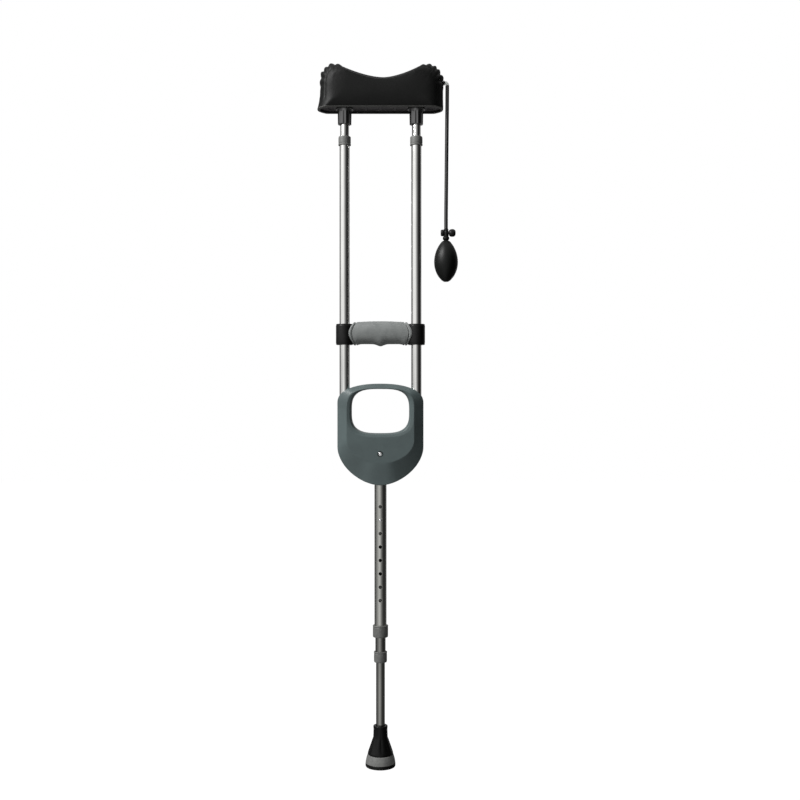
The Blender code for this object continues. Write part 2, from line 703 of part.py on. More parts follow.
# Side tubes, and the pad tubes that slide in them
def make_side_tubes():
    grip_holes = [grip_z + i * GRIP_HOLE_PITCH for i in range(GRIP_HOLES)]
    pad_holes = [pad_button_z + i * HOLE_PITCH for i in range(PAD_HOLES)]
    reach = side_tube_radius + OVERCUT
    for side, label in ((-1, "left"), (1, "right")):
        x = side * tube_x
        outer = tube(
            f"side_tube_{label}", BRIGHT_TUBE, side_tube_radius, SIDE_TUBE_WALL, x, side_tube_end, SIDE_TUBE_LENGTH
        )
        facing = [hole((x, 0, z), (x - side * reach, 0, z), GRIP_HOLE_RADIUS) for z in grip_holes]
        cut(outer, tool(f"side_tube_{label}_grip_holes", facing))
        if side > 0:
            drains = [side_tube_top - below for below in DRAIN_HOLES_BELOW_TUBE_TOP]
            away = [hole((x, 0, z), (x + reach, 0, z), DRAIN_HOLE_RADIUS) for z in drains]
            cut(outer, tool("side_tube_right_outer_holes", away))
        pierce_y(f"side_tube_{label}_pad_holes", outer, x, button_hole, pad_holes, 1, reach)
        pierce_y(f"side_tube_{label}_peg_hole", outer, x, YOKE_PEG_RADIUS + HOLE_PLAY, [yoke_peg_z], -1, reach)

        inner = tube(
            f"upper_tube_{label}", BRIGHT_TUBE, PAD_TUBE_RADIUS, PAD_TUBE_WALL, x, pad_tube_end, PAD_TUBE_LENGTH,
            pad_slide,
        )
        pierce_y(f"upper_tube_{label}_hole", inner, x, button_hole, [pad_button_z], 1, side_tube_radius)
        make_collar(
            f"side_collar_{label}", x, side_tube_radius, PAD_TUBE_RADIUS, SIDE_COLLAR_WALL, SIDE_COLLAR_HEIGHT,
            side_tube_top, upside_down=True,
        )


# Yoke housing
def yoke_ring(half_width, top, shoulder, hip, bottom, top_power, bottom_power, depth, side, covers=(0.0, 0.0)):
    """One level line of the yoke: a superellipse above the shoulder and one below the hip, straight between."""
    centre = WINDOW_CENTRE

    def inside(x, z):
        across = abs(x) / half_width
        if z > shoulder:
            return across**top_power + ((z - shoulder) / (top - shoulder)) ** top_power < 1
        if z < hip:
            return across**bottom_power + ((hip - z) / (hip - bottom)) ** bottom_power < 1
        return across < 1

    leg_cover, tube_cover = covers
    fade = YOKE_TUBE_COVER_FADE
    ring = []
    for i in range(YOKE_POINTS):
        share = i / YOKE_POINTS
        angle = math.tau * share + 0.22 * math.sin(2 * math.tau * share)
        low, high = 0.0, 0.2
        for _ in range(30):
            reach = (low + high) / 2
            if inside(reach * math.cos(angle), centre + reach * math.sin(angle)):
                low = reach
            else:
                high = reach
        x, z = low * math.cos(angle), centre + low * math.sin(angle)
        swell = leg_cover * math.exp(-((x / YOKE_LEG_COVER_WIDTH) ** 2)) if z < hip else 0.0
        rise = min(1.0, max(0.0, (z - shoulder + fade) / (2 * fade)))
        swell += tube_cover * rise * math.exp(-(((abs(x) - tube_x) / YOKE_TUBE_COVER_WIDTH) ** 2))
        ring.append(Vector((x, side * (depth + swell), yoke_z + z)))
    return ring


def body_ring(inset, depth, side, covers=(0.0, 0.0)):
    return yoke_ring(
        YOKE_HALF_WIDTH - inset, YOKE_TOP - inset, YOKE_SHOULDER, YOKE_HIP, YOKE_BOTTOM + inset,
        YOKE_TOP_POWER, YOKE_BOTTOM_POWER, depth, side, covers,
    )


def crest_ring(inset, depth, side):
    return yoke_ring(
        CREST_HALF_WIDTH - inset, CREST_TOP - inset, CREST_SHOULDER, CREST_HIP, CREST_BOTTOM + inset * 10,
        WINDOW_POWER, 2.0, depth, side,
    )


def window_ring(out, above, below, depth, side):
    low = WINDOW_CENTRE - WINDOW_HALF_HEIGHT - below
    high = WINDOW_CENTRE + WINDOW_HALF_HEIGHT + above
    middle = (low + high) / 2
    return yoke_ring(
        WINDOW_HALF_WIDTH + out, high, middle, middle, low, WINDOW_POWER, WINDOW_POWER, depth, side
    )


def yoke_solid(side):
    """The filled half of the yoke, from the parting plane out to its face, with the window through it."""
    face = YOKE_HALF_DEPTH
    rings = [
        body_ring(0, FIT / 2, side),
        body_ring(0, YOKE_SIDE_DEPTH, side, (YOKE_LEG_COVER, YOKE_TUBE_COVER)),
        crest_ring(0, face, side),
        window_ring(LIP_SIDE, LIP_ABOVE, LIP_BELOW, face, side),
        window_ring(LIP_SIDE / 2, LIP_ABOVE / 2, LIP_BELOW / 2, face - BEVEL_DEPTH, side),
        window_ring(LIP_SIDE / 10, LIP_ABOVE / 10, LIP_BELOW / 10, face - BEVEL_DEPTH - LIP_ROUND_DEPTH, side),
        window_ring(0, 0, 0, FIT / 2, side),
    ]
    return loft(rings, capped=False)


def yoke_hollow(side):
    """What is cored out of a half, from past the parting plane to the inside of its face."""
    floor = YOKE_HALF_DEPTH - YOKE_FRONT_WALL
    shallow = floor - LIP_ROUND_DEPTH
    rings = [
        body_ring(YOKE_WALL, -OVERCUT, side),
        body_ring(YOKE_WALL, YOKE_SIDE_DEPTH - OVERCUT / 2, side),
        crest_ring(FIT, floor, side),
        window_ring(LIP_SIDE, LIP_ABOVE - FIT, LIP_BELOW, floor, side),
        window_ring(YOKE_WALL + OVERCUT, YOKE_WALL + FIT, YOKE_WALL + OVERCUT, shallow, side),
        window_ring(YOKE_WALL, YOKE_WALL, YOKE_WALL, -OVERCUT, side),
    ]
    return loft(rings, capped=False)


def yoke_ribs(label, side):
    """Cross ribs and screw bosses, left standing when the half is cored out."""
    past = 2 * YOKE_HALF_DEPTH
    span = sorted((side * past, -side * OVERCUT * 2))
    window_side = WINDOW_HALF_WIDTH + YOKE_WALL / 2
    outer_side = YOKE_HALF_WIDTH
    boxes = []
    for end in (-1, 1):
        xs = sorted((end * window_side, end * outer_side))
        low = side_tube_end + YOKE_RIB_OVER_TUBE_END
        boxes.append(((xs[0], span[0], low), (xs[1], span[1], low + RIB)))
        stop = side_tube_end - FIT
        boxes.append(((xs[0], span[0], stop - RIB), (xs[1], span[1], stop)))
    reach = upper_leg_radius + 2 * RIB
    for low in (yoke_z + YOKE_BOTTOM + YOKE_RIB_OVER_BOTTOM, upper_leg_top + FIT):
        boxes.append(((-reach, span[0], low), (reach, span[1], low + RIB)))
    rods = [((0, span[0], yoke_z), (0, span[1], yoke_z), YOKE_BOSS_RADIUS)]
    for x, height in REAR_SCREWS:
        z = yoke_z + height
        rods.append(hole((x, span[0], z), (x, span[1], z), REAR_SCREW_BOSS_RADIUS))
    return tool(f"yoke_{label}_ribs", rods, boxes)


def yoke_channels(label, side):
    """Bores for the tubes, and the screw holes."""
    sky = yoke_z + YOKE_TOP + YOKE_WALL
    facets = 16
    corner = 1 / math.cos(math.pi / facets)
    tube_bore = (side_tube_radius + FIT) * corner
    rods = [
        ((end * tube_x, 0, side_tube_end - FIT), (end * tube_x, 0, sky), tube_bore, facets) for end in (-1, 1)
    ]
    floor = yoke_z + YOKE_BOTTOM - YOKE_WALL
    leg_bore = (upper_leg_radius + FIT) * corner
    rods.append(((0, 0, floor), (0, 0, upper_leg_top + FIT), leg_bore, facets))
    return tool(f"yoke_{label}_tube_bores", rods)


def make_yoke():
    face = YOKE_HALF_DEPTH
    screw_floor = face - YOKE_RECESS
    screw_hole = YOKE_SCREW_RADIUS + HOLE_PLAY
    small_hole = REAR_SCREW_RADIUS + HOLE_PLAY
    small_head_floor = YOKE_SIDE_DEPTH + 0.0050
    for side, label in ((-1, "front"), (1, "rear")):
        half = add_object(f"housing_{label}", yoke_solid(side), YOKE_PLASTIC)
        hollow = tool(f"yoke_{label}_hollow", bm=yoke_hollow(side))
        cut(hollow, yoke_ribs(label, side), "MANIFOLD")
        cut(half, hollow, "MANIFOLD")
        cut(half, yoke_channels(label, side), "MANIFOLD")
        out = side * (face + OVERCUT)
        through = [hole((0, 0, yoke_z), (0, out, yoke_z), screw_hole)]
        end = out if side > 0 else -(REAR_SCREW_LENGTH - small_head_floor + OVERCUT)
        through += [hole((x, 0, yoke_z + z), (x, end, yoke_z + z), small_hole) for x, z in REAR_SCREWS]
        cut(half, tool(f"yoke_{label}_screw_holes", through), "MANIFOLD")
        recess_radius = YOKE_RECESS_RADIUS if side < 0 else NUT_RADIUS + HOLE_PLAY
        facets = 24 if side < 0 else 6
        recesses = [((0, side * screw_floor, yoke_z), (0, out, yoke_z), recess_radius, facets)]
        if side > 0:
            recesses += [
                hole((x, small_head_floor, yoke_z + z), (x, out, yoke_z + z), REAR_SCREW_HEAD_RADIUS + HOLE_PLAY)
                for x, z in REAR_SCREWS
            ]
        cut(half, tool(f"yoke_{label}_recesses", recesses), "MANIFOLD")
        if side < 0:
            wall_inside = side_tube_radius - SIDE_TUBE_WALL
            pegs = [
                ((end * tube_x, -(side_tube_radius + 3 * OVERCUT), yoke_peg_z),
                 (end * tube_x, -wall_inside, yoke_peg_z), YOKE_PEG_RADIUS)
                for end in (-1, 1)
            ]
            fuse(half, tool("yoke_front_pegs", pegs), "MANIFOLD")
        flatten = half.modifiers.new("flat_faces", "DECIMATE")
        flatten.decimate_type = "DISSOLVE"
        flatten.angle_limit = math.radians(FLAT)

    # Front screw, its nut, and the four rear screws
    seat = screw_floor + FIT
    length = seat + screw_floor + FIT + NUT_THICKNESS
    head = YOKE_SCREW_HEAD
    dome = head * 0.35
    key = 0.0016
    screw = (
        (0, 0),
        (YOKE_SCREW_RADIUS, 0),
        (YOKE_SCREW_RADIUS, length),
        (YOKE_SCREW_HEAD_RADIUS, length),
        (YOKE_SCREW_HEAD_RADIUS, length + head - dome),
        (YOKE_SCREW_HEAD_RADIUS * 0.8, length + head),
        (key, length + head),
        (key, length + head - 1.4 * dome),
        (0, length + head - 1.4 * dome),
    )
    start = length - seat
    turned("housing_screw", STEEL, screw, (0, start, yoke_z), segments=24, turn=ALONG_MINUS_Y)
    nut_bore = YOKE_SCREW_RADIUS + FIT
    nut = ((nut_bore, 0), (NUT_RADIUS, 0), (NUT_RADIUS, NUT_THICKNESS), (nut_bore, NUT_THICKNESS))

    def six_sided(point):
        radius = point.xy.length
        if radius < nut_bore + FIT:
            return point
        turn = math.atan2(point.y, point.x) % math.radians(60) - math.radians(30)
        shrink = math.cos(math.radians(30)) / math.cos(turn)
        return Vector((point.x * shrink, point.y * shrink, point.z))

    nut_turn = ALONG_Y @ Matrix.Rotation(math.radians(30), 4, "Z")
    nut_at = (0, screw_floor + FIT, yoke_z)
    turned("housing_nut", STEEL, nut, nut_at, segments=12, warp=six_sided, turn=nut_turn)
    for number, (x, height) in enumerate(REAR_SCREWS, 1):
        shank = REAR_SCREW_LENGTH
        small = (
            (0, 0),
            (REAR_SCREW_RADIUS, 0),
            (REAR_SCREW_RADIUS, shank),
            (REAR_SCREW_HEAD_RADIUS, shank),
            (REAR_SCREW_HEAD_RADIUS, shank + REAR_SCREW_HEAD * 0.6),
            (REAR_SCREW_HEAD_RADIUS * 0.7, shank + REAR_SCREW_HEAD),
            (0, shank + REAR_SCREW_HEAD),
        )
        start = small_head_floor + FIT - shank
        turned(
            f"rear_screw_{number}", STEEL, small, (x, start, yoke_z + height), segments=SMALL_ROUND, turn=ALONG_Y
        )


# Handgrip
def make_grip():
    clamp_radius = side_tube_radius + FIT + CLAMP_WALL
    cope_radius = clamp_radius + GRIP_END_GAP
    half_length = tube_x
    rings = []
    for i in range(GRIP_SECTIONS + 1):
        x = half_length * math.sin(math.pi * (i / GRIP_SECTIONS - 0.5))
        share = abs(x) / half_length
        top = GRIP_TOP - GRIP_CROWN * share**2
        half_depth = GRIP_HALF_DEPTH + (GRIP_END_HALF_DEPTH - GRIP_HALF_DEPTH) * share**2
        ridge = GRIP_MIDDLE_RIDGE * math.exp(-((x / GRIP_MIDDLE_RIDGE_WIDTH * 1.6) ** 2))
        beside = (abs(x) - GRIP_END_RIDGE_AT) / GRIP_END_RIDGE_WIDTH
        ridge += GRIP_END_RIDGE * math.exp(-(beside**2))
        bottom = GRIP_BOTTOM - ridge
        middle = (top + bottom) / 2
        ring = []
        for k in range(GRIP_FACETS):
            angle = math.tau * k / GRIP_FACETS
            reach_y = math.copysign(abs(math.cos(angle)) ** 0.88, math.cos(angle))
            reach_z = math.copysign(abs(math.sin(angle)) ** 0.88, math.sin(angle))
            ring.append(Vector((x, half_depth * reach_y, middle + (top - bottom) / 2 * reach_z)))
        rings.append(ring)
    handgrip = add_object("handgrip", loft(rings, capped=True), GRIP_RUBBER, (0, 0, grip_z), grip_slide)
    reach = GRIP_TOP * 2
    copes = [
        ((end * tube_x, 0, grip_z - reach), (end * tube_x, 0, grip_z + reach), cope_radius, ROUND)
        for end in (-1, 1)
    ]
    cut(handgrip, tool("handgrip_copes", copes))

    def oval(half_height, half_depth, half_length_x, name):
        bm = bmesh.new()
        add_rod(bm, (-half_length_x, 0, 0), (half_length_x, 0, 0), 1.0, 24)
        bmesh.ops.scale(bm, vec=(1, half_depth, half_height), verts=bm.verts)
        bmesh.ops.translate(bm, vec=(0, 0, grip_z), verts=bm.verts)
        return tool(name, bm=bm)

    cut(handgrip, oval(CORE_HALF_HEIGHT + FIT, CORE_HALF_DEPTH + FIT, half_length, "handgrip_bore"))

    bm = bmesh.new()
    add_rod(bm, (-CORE_HALF_LENGTH, 0, 0), (CORE_HALF_LENGTH, 0, 0), 1.0, 24)
    bmesh.ops.scale(bm, vec=(1, CORE_HALF_DEPTH, CORE_HALF_HEIGHT), verts=bm.verts)
    core = add_object("grip_core", bm, BLACK_PLASTIC, (0, 0, grip_z), grip_slide)

    slot_low = LATCH_PLATE_AT - LATCH_TRAVEL - HOLE_PLAY
    slot_high = LATCH_PLATE_AT + LATCH_PLATE + HOLE_PLAY
    slot_half = LATCH_HALF_HEIGHT + HOLE_PLAY
    tab_end = GRIP_HALF_DEPTH + LATCH_TAB_PROUD
    pocket_y, pocket_z = ARM_HALF_DEPTH + FIT, ARM_HALF_HEIGHT + FIT
    inner_y, inner_z = ARM_HALF_DEPTH - ARM_WALL, ARM_HALF_HEIGHT - ARM_WALL
    for end, label in ((-1, "left"), (1, "right")):

        def span(first, second, half_y, half_z, low_y=None):
            xs = sorted((end * first, end * second))
            low = -half_y if low_y is None else low_y
            return ((xs[0], low, grip_z - half_z), (xs[1], half_y, grip_z + half_z))

        slot = tool(f"latch_slot_{label}", boxes=[span(slot_low, slot_high, tab_end + OVERCUT, slot_half, 0)])
        cut(handgrip, slot)
        cut(core, tool(
            f"grip_core_pocket_{label}", boxes=[span(CORE_WEB, CORE_HALF_LENGTH + OVERCUT, pocket_y, pocket_z)]
        ))
        cut(core, slot)

        # Clamp: a collar round the side tube with a hollow arm that runs into the grip's core
        half = CLAMP_HEIGHT / 2
        bore = side_tube_radius + FIT
        ring = (
            (bore, -half),
            (clamp_radius - CLAMP_EDGE, -half),
            (clamp_radius, -half + CLAMP_EDGE),
            (clamp_radius, half - CLAMP_EDGE),
            (clamp_radius - CLAMP_EDGE, half),
            (bore, half),
        )
        clamp = turned(
            f"grip_clamp_{label}", BLACK_PLASTIC, ring, (end * tube_x, 0, grip_z), grip_slide
        )
        inner_edge = tube_x - clamp_radius + CLAMP_WALL / 2
        fuse(clamp, tool(
            f"grip_arm_{label}", boxes=[span(ARM_END, inner_edge, ARM_HALF_DEPTH, ARM_HALF_HEIGHT)]
        ))
        pocket_end = slot_high + OVERCUT
        cut(clamp, tool(
            f"grip_arm_pocket_{label}", boxes=[span(ARM_END - OVERCUT, pocket_end, inner_y, inner_z)]
        ))
        peg_bore = ((end * (pocket_end - OVERCUT), 0, grip_z), (end * tube_x, 0, grip_z), peg_hole)
        cut(clamp, tool(f"peg_bore_{label}", [peg_bore]))
        cut(clamp, slot)

        # Latch: a peg on a plate with a finger tab behind the grip and a moulded leaf spring
        latch_axis = joint_axis(f"grip_latch_{label}_axis", (end * LATCH_PLATE_AT, 0, grip_z), grip_slide)
        bm = bmesh.new()
        xs = sorted((end * LATCH_PLATE_AT, end * (LATCH_PLATE_AT + LATCH_PLATE)))
        add_box(
            bm, (xs[0], -inner_y + HOLE_PLAY, -LATCH_HALF_HEIGHT), (xs[1], tab_end, LATCH_HALF_HEIGHT)
        )
        bmesh.ops.translate(bm, vec=(-end * LATCH_PLATE_AT, 0, 0), verts=bm.verts)
        latch = add_object(
            f"grip_latch_{label}", bm, BLACK_PLASTIC, (end * LATCH_PLATE_AT, 0, grip_z), latch_axis
        )
        peg = (
            (end * (LATCH_PLATE_AT + LATCH_PLATE / 2), 0, grip_z), (end * (tube_x - PEG_TIP), 0, grip_z), PEG_RADIUS
        )
        fuse(latch, tool(f"grip_peg_{label}", [peg]))
        first, last = LATCH_PLATE_AT + LATCH_PLATE / 2, CORE_WEB + FIT
        waves = 4
        crest = [
            (end * (first + (last - first) * i / waves), LATCH_LEAF_WAVE * math.sin(math.pi * i / 2))
            for i in range(waves + 1)
        ]
        upper = [(x, z + LATCH_LEAF / 2) for x, z in crest]
        lower = [(x, z - LATCH_LEAF / 2) for x, z in reversed(crest)]
        leaf = bmesh.new()
        add_strip(leaf, upper + lower, LATCH_LEAF_HALF_WIDTH)
        bmesh.ops.translate(leaf, vec=(0, 0, grip_z), verts=leaf.verts)
        fuse(latch, tool(f"grip_leaf_{label}", bm=leaf))

        # Screw that holds the arm in the core
        seat = CORE_HALF_DEPTH - GRIP_SCREW_HEAD - FIT
        x = end * GRIP_SCREW_AT
        hole = GRIP_SCREW_RADIUS + HOLE_PLAY
        hole_tool = tool(
            f"grip_screw_hole_{label}", [((x, 0, grip_z), (x, CORE_HALF_DEPTH + OVERCUT, grip_z), hole)]
        )
        cut(core, hole_tool)
        cut(clamp, hole_tool)
        head_hole = GRIP_SCREW_HEAD_RADIUS + HOLE_PLAY
        cut(core, tool(
            f"grip_screw_recess_{label}", [((x, seat, grip_z), (x, CORE_HALF_DEPTH + OVERCUT, grip_z), head_hole)]
        ))
        shank = seat + FIT - inner_y - FIT
        screw = (
            (0, 0),
            (GRIP_SCREW_RADIUS, 0),
            (GRIP_SCREW_RADIUS, shank),
            (GRIP_SCREW_HEAD_RADIUS, shank),
            (GRIP_SCREW_HEAD_RADIUS, shank + GRIP_SCREW_HEAD - FIT),
            (0, shank + GRIP_SCREW_HEAD - FIT),
        )
        turned(
            f"grip_screw_{label}", STEEL, screw, (x, inner_y + FIT, grip_z), grip_slide, segments=SMALL_ROUND,
            turn=ALONG_Y,
        )


# Pad
def pad_outline(saddle_steps, end_steps, gathers):
    """The pad's front outline, as (x, height over its base, how far a gather puffs it out)."""
    arc_low = PAD_HEIGHT - PAD_END_ARC_HEIGHT
    outline = []
    for end in (1, -1):
        waist = PAD_HALF_LENGTH - (PAD_RIGHT_WAIST if end > 0 else PAD_LEFT_WAIST)
        arc_width = waist - PAD_HORN_AT
        half = []
        for i in range(saddle_steps):
            share = i / saddle_steps
            x = PAD_SADDLE_AT + (end * PAD_HORN_AT - PAD_SADDLE_AT) * share
            half.append((x, PAD_SADDLE_HEIGHT + (PAD_HEIGHT - PAD_SADDLE_HEIGHT) * share**PAD_SADDLE_POWER, 0.0))
        for i in range(end_steps + 1):
            angle = math.pi / 2 * (1 - i / end_steps)
            across = math.cos(angle) ** (2 / PAD_END_POWER) if i else 0.0
            up = math.sin(angle) ** (2 / PAD_END_POWER) if i < end_steps else 0.0
            gather = 0.5 - 0.5 * math.cos(math.tau * (gathers * i / end_steps + 0.5)) if gathers else 0.0
            half.append((end * (PAD_HORN_AT + arc_width * across), arc_low + PAD_END_ARC_HEIGHT * up, gather))
        for share in (0.45, 0.75, 1.0):
            height = arc_low * (1 - share)
            flare = max(0.0, 1 - height / PAD_FLARE_HEIGHT) ** 2
            half.append((end * (waist + (PAD_HALF_LENGTH - waist) * flare), height, 0.0))
        outline += half if end > 0 else half[:0:-1]
        if end > 0:
            outline += [(PAD_HALF_LENGTH * (1 - i / 2), 0.0, 0.0) for i in range(1, 4)]
    return outline


def pad_rings(inset, floor, levels, saddle_steps, end_steps, gathers=0):
    """Level lines of the pad from front to back, drawn in by inset, standing on a floor over the pad's base."""
    depth = PAD_HALF_DEPTH - inset
    rings = []
    for level in levels:
        y = level * depth
        sway = level * PAD_HALF_DEPTH
        end_round = PAD_HALF_DEPTH - math.sqrt(max(PAD_HALF_DEPTH**2 - sway**2, 0.0))
        across = (PAD_HALF_LENGTH - inset - end_round) / PAD_HALF_LENGTH
        crown = PAD_CROWN_RADIUS - math.sqrt(PAD_CROWN_RADIUS**2 - sway**2)
        up = (PAD_HEIGHT - inset - crown) / PAD_HEIGHT
        undercut = max(0.0, abs(sway) - PAD_BASE_HALF_DEPTH) / (PAD_HALF_DEPTH - PAD_BASE_HALF_DEPTH)
        lift = max(floor, PAD_UNDERCUT * undercut**2)
        fade = max(0.0, 1 - (y / GATHER_HALF_DEPTH) ** 2)
        ring = []
        for x, height, gather in pad_outline(saddle_steps, end_steps, gathers):
            puff = 1 + GATHER_DEPTH * gather * fade / PAD_HALF_LENGTH * 0.8
            rise = GATHER_DEPTH * gather * fade * (height / PAD_HEIGHT) ** 2
            z = pad_base + lift + height * (up - lift / PAD_HEIGHT) + rise
            ring.append(Vector((x * across * puff, y, z)))
        rings.append(ring)
    return rings


def stadium(half_length, half_width, low, high):
    """An upright prism with round ends."""
    bm = bmesh.new()
    centre = half_length - half_width
    points = []
    for end in (1, -1):
        for i in range(9):
            angle = math.radians(-90 + 22.5 * i)
            points.append((end * (centre + half_width * math.cos(angle)), end * half_width * math.sin(angle), low))
    face = bm.faces.new([bm.verts.new(point) for point in points])
    grown = bmesh.ops.extrude_face_region(bm, geom=[face])["geom"]
    moved = [item for item in grown if isinstance(item, bmesh.types.BMVert)]
    bmesh.ops.translate(bm, vec=(0, 0, high - low), verts=moved)
    return bm


def make_pad():
    puffed = loft(pad_rings(0, 0, PAD_LEVELS, 6, 2 * GATHERS, GATHERS), capped=True)
    cover = add_object("pad_cover", puffed, PAD_SKIN, parent=pad_slide)
    plate_half_length = PAD_HALF_LENGTH - PAD_WALL - FIT
    plate_half_depth = PAD_BASE_HALF_DEPTH - PAD_WALL - FIT
    chamber_floor = plate_top - pad_base
    chamber = loft(pad_rings(PAD_WALL, chamber_floor, CHAMBER_LEVELS, 4, 5), capped=True)
    cut(cover, tool("pad_chamber", bm=chamber))
    seat = stadium(
        plate_half_length + FIT, plate_half_depth + FIT, pad_base - OVERCUT, plate_top + OVERCUT
    )
    cut(cover, tool("pad_plate_seat", bm=seat))
    nipple_hole = ((nipple_x - NIPPLE_INSIDE, 0, nipple_z), (elbow_x + OVERCUT, 0, nipple_z), NIPPLE_RADIUS + FIT)
    nipple_tool = tool("nipple_hole", [nipple_hole])
    cut(cover, nipple_tool)
    flange_seat = ((nipple_x - FIT, 0, nipple_z), (hose_x, 0, nipple_z), NIPPLE_FLANGE_RADIUS + FIT)
    cut(cover, tool("nipple_flange_seat", [flange_seat]))

    filling = loft(pad_rings(PAD_WALL + FIT, chamber_floor + FIT, CHAMBER_LEVELS, 4, 5), capped=True)
    bladder = add_object("air_bladder", filling, BLADDER_SKIN, parent=pad_slide)
    air_inset, air_floor = PAD_WALL + FIT + BLADDER_WALL, chamber_floor + FIT + BLADDER_WALL
    air = loft(pad_rings(air_inset, air_floor, CHAMBER_LEVELS, 4, 5), capped=True)
    cut(bladder, tool("bladder_air", bm=air))
    cut(bladder, nipple_tool)

    plate = add_object(
        "pad_base_plate", stadium(plate_half_length, plate_half_depth, plate_z, plate_top), BLACK_PLASTIC,
        parent=pad_slide,
    )
    head_floor = plate_top - PAD_SCREW_HEAD - FIT
    holes = []
    for end in (-1, 1):
        x = end * tube_x
        holes.append(((x, 0, plate_z - OVERCUT), (x, 0, plate_top), PAD_SCREW_RADIUS + HOLE_PLAY))
    recesses = [
        ((end * tube_x, 0, head_floor), (end * tube_x, 0, plate_top + OVERCUT), PAD_SCREW_HEAD_RADIUS + HOLE_PLAY)
        for end in (-1, 1)
    ]
    cut(plate, tool("pad_screw_holes", holes))
    cut(plate, tool("pad_screw_recesses", recesses))

    # Sockets: fluted cups on the pad tubes, hung from the plate by a screw each
    bore = PAD_TUBE_RADIUS + FIT
    outside = bore + SOCKET_WALL
    height = SOCKET_DEPTH + SOCKET_ROOF
    screw_depth = PAD_SCREW_LENGTH - (head_floor + FIT - plate_z) + HOLE_PLAY
    screw_bore = PAD_SCREW_RADIUS + HOLE_PLAY
    cup = (
        (bore, 0),
        (outside - SOCKET_TAPER, 0),
        (outside, height - SOCKET_FLANGE),
        (SOCKET_FLANGE_RADIUS, height - SOCKET_FLANGE),
        (SOCKET_FLANGE_RADIUS, height),
        (screw_bore, height),
        (screw_bore, height - screw_depth),
        (screw_bore - FIT, SOCKET_DEPTH),
        (bore, SOCKET_DEPTH),
    )

    def ribbed(point):
        radius = point.xy.length
        if not bore + FIT < radius < SOCKET_FLANGE_RADIUS - FIT:
            return point
        wave = 0.5 + 0.5 * math.cos(SOCKET_RIBS * math.atan2(point.y, point.x))
        shrink = 1 - SOCKET_RIB_DEPTH * wave / radius
        return Vector((point.x * shrink, point.y * shrink, point.z))

    for end, label in ((-1, "left"), (1, "right")):
        x = end * tube_x
        turned(
            f"pad_socket_{label}", BLACK_PLASTIC, cup, (x, 0, socket_bottom), pad_slide,
            segments=SOCKET_RIBS * 2, warp=ribbed,
        )
        screw = (
            (0, 0),
            (PAD_SCREW_RADIUS, 0),
            (PAD_SCREW_RADIUS, PAD_SCREW_LENGTH),
            (PAD_SCREW_HEAD_RADIUS, PAD_SCREW_LENGTH),
            (PAD_SCREW_HEAD_RADIUS, PAD_SCREW_LENGTH + PAD_SCREW_HEAD - FIT),
            (0, PAD_SCREW_LENGTH + PAD_SCREW_HEAD - FIT),
        )
        turned(
            f"pad_screw_{label}", STEEL, screw, (x, 0, head_floor + FIT - PAD_SCREW_LENGTH), pad_slide,
            segments=SMALL_ROUND,
        )


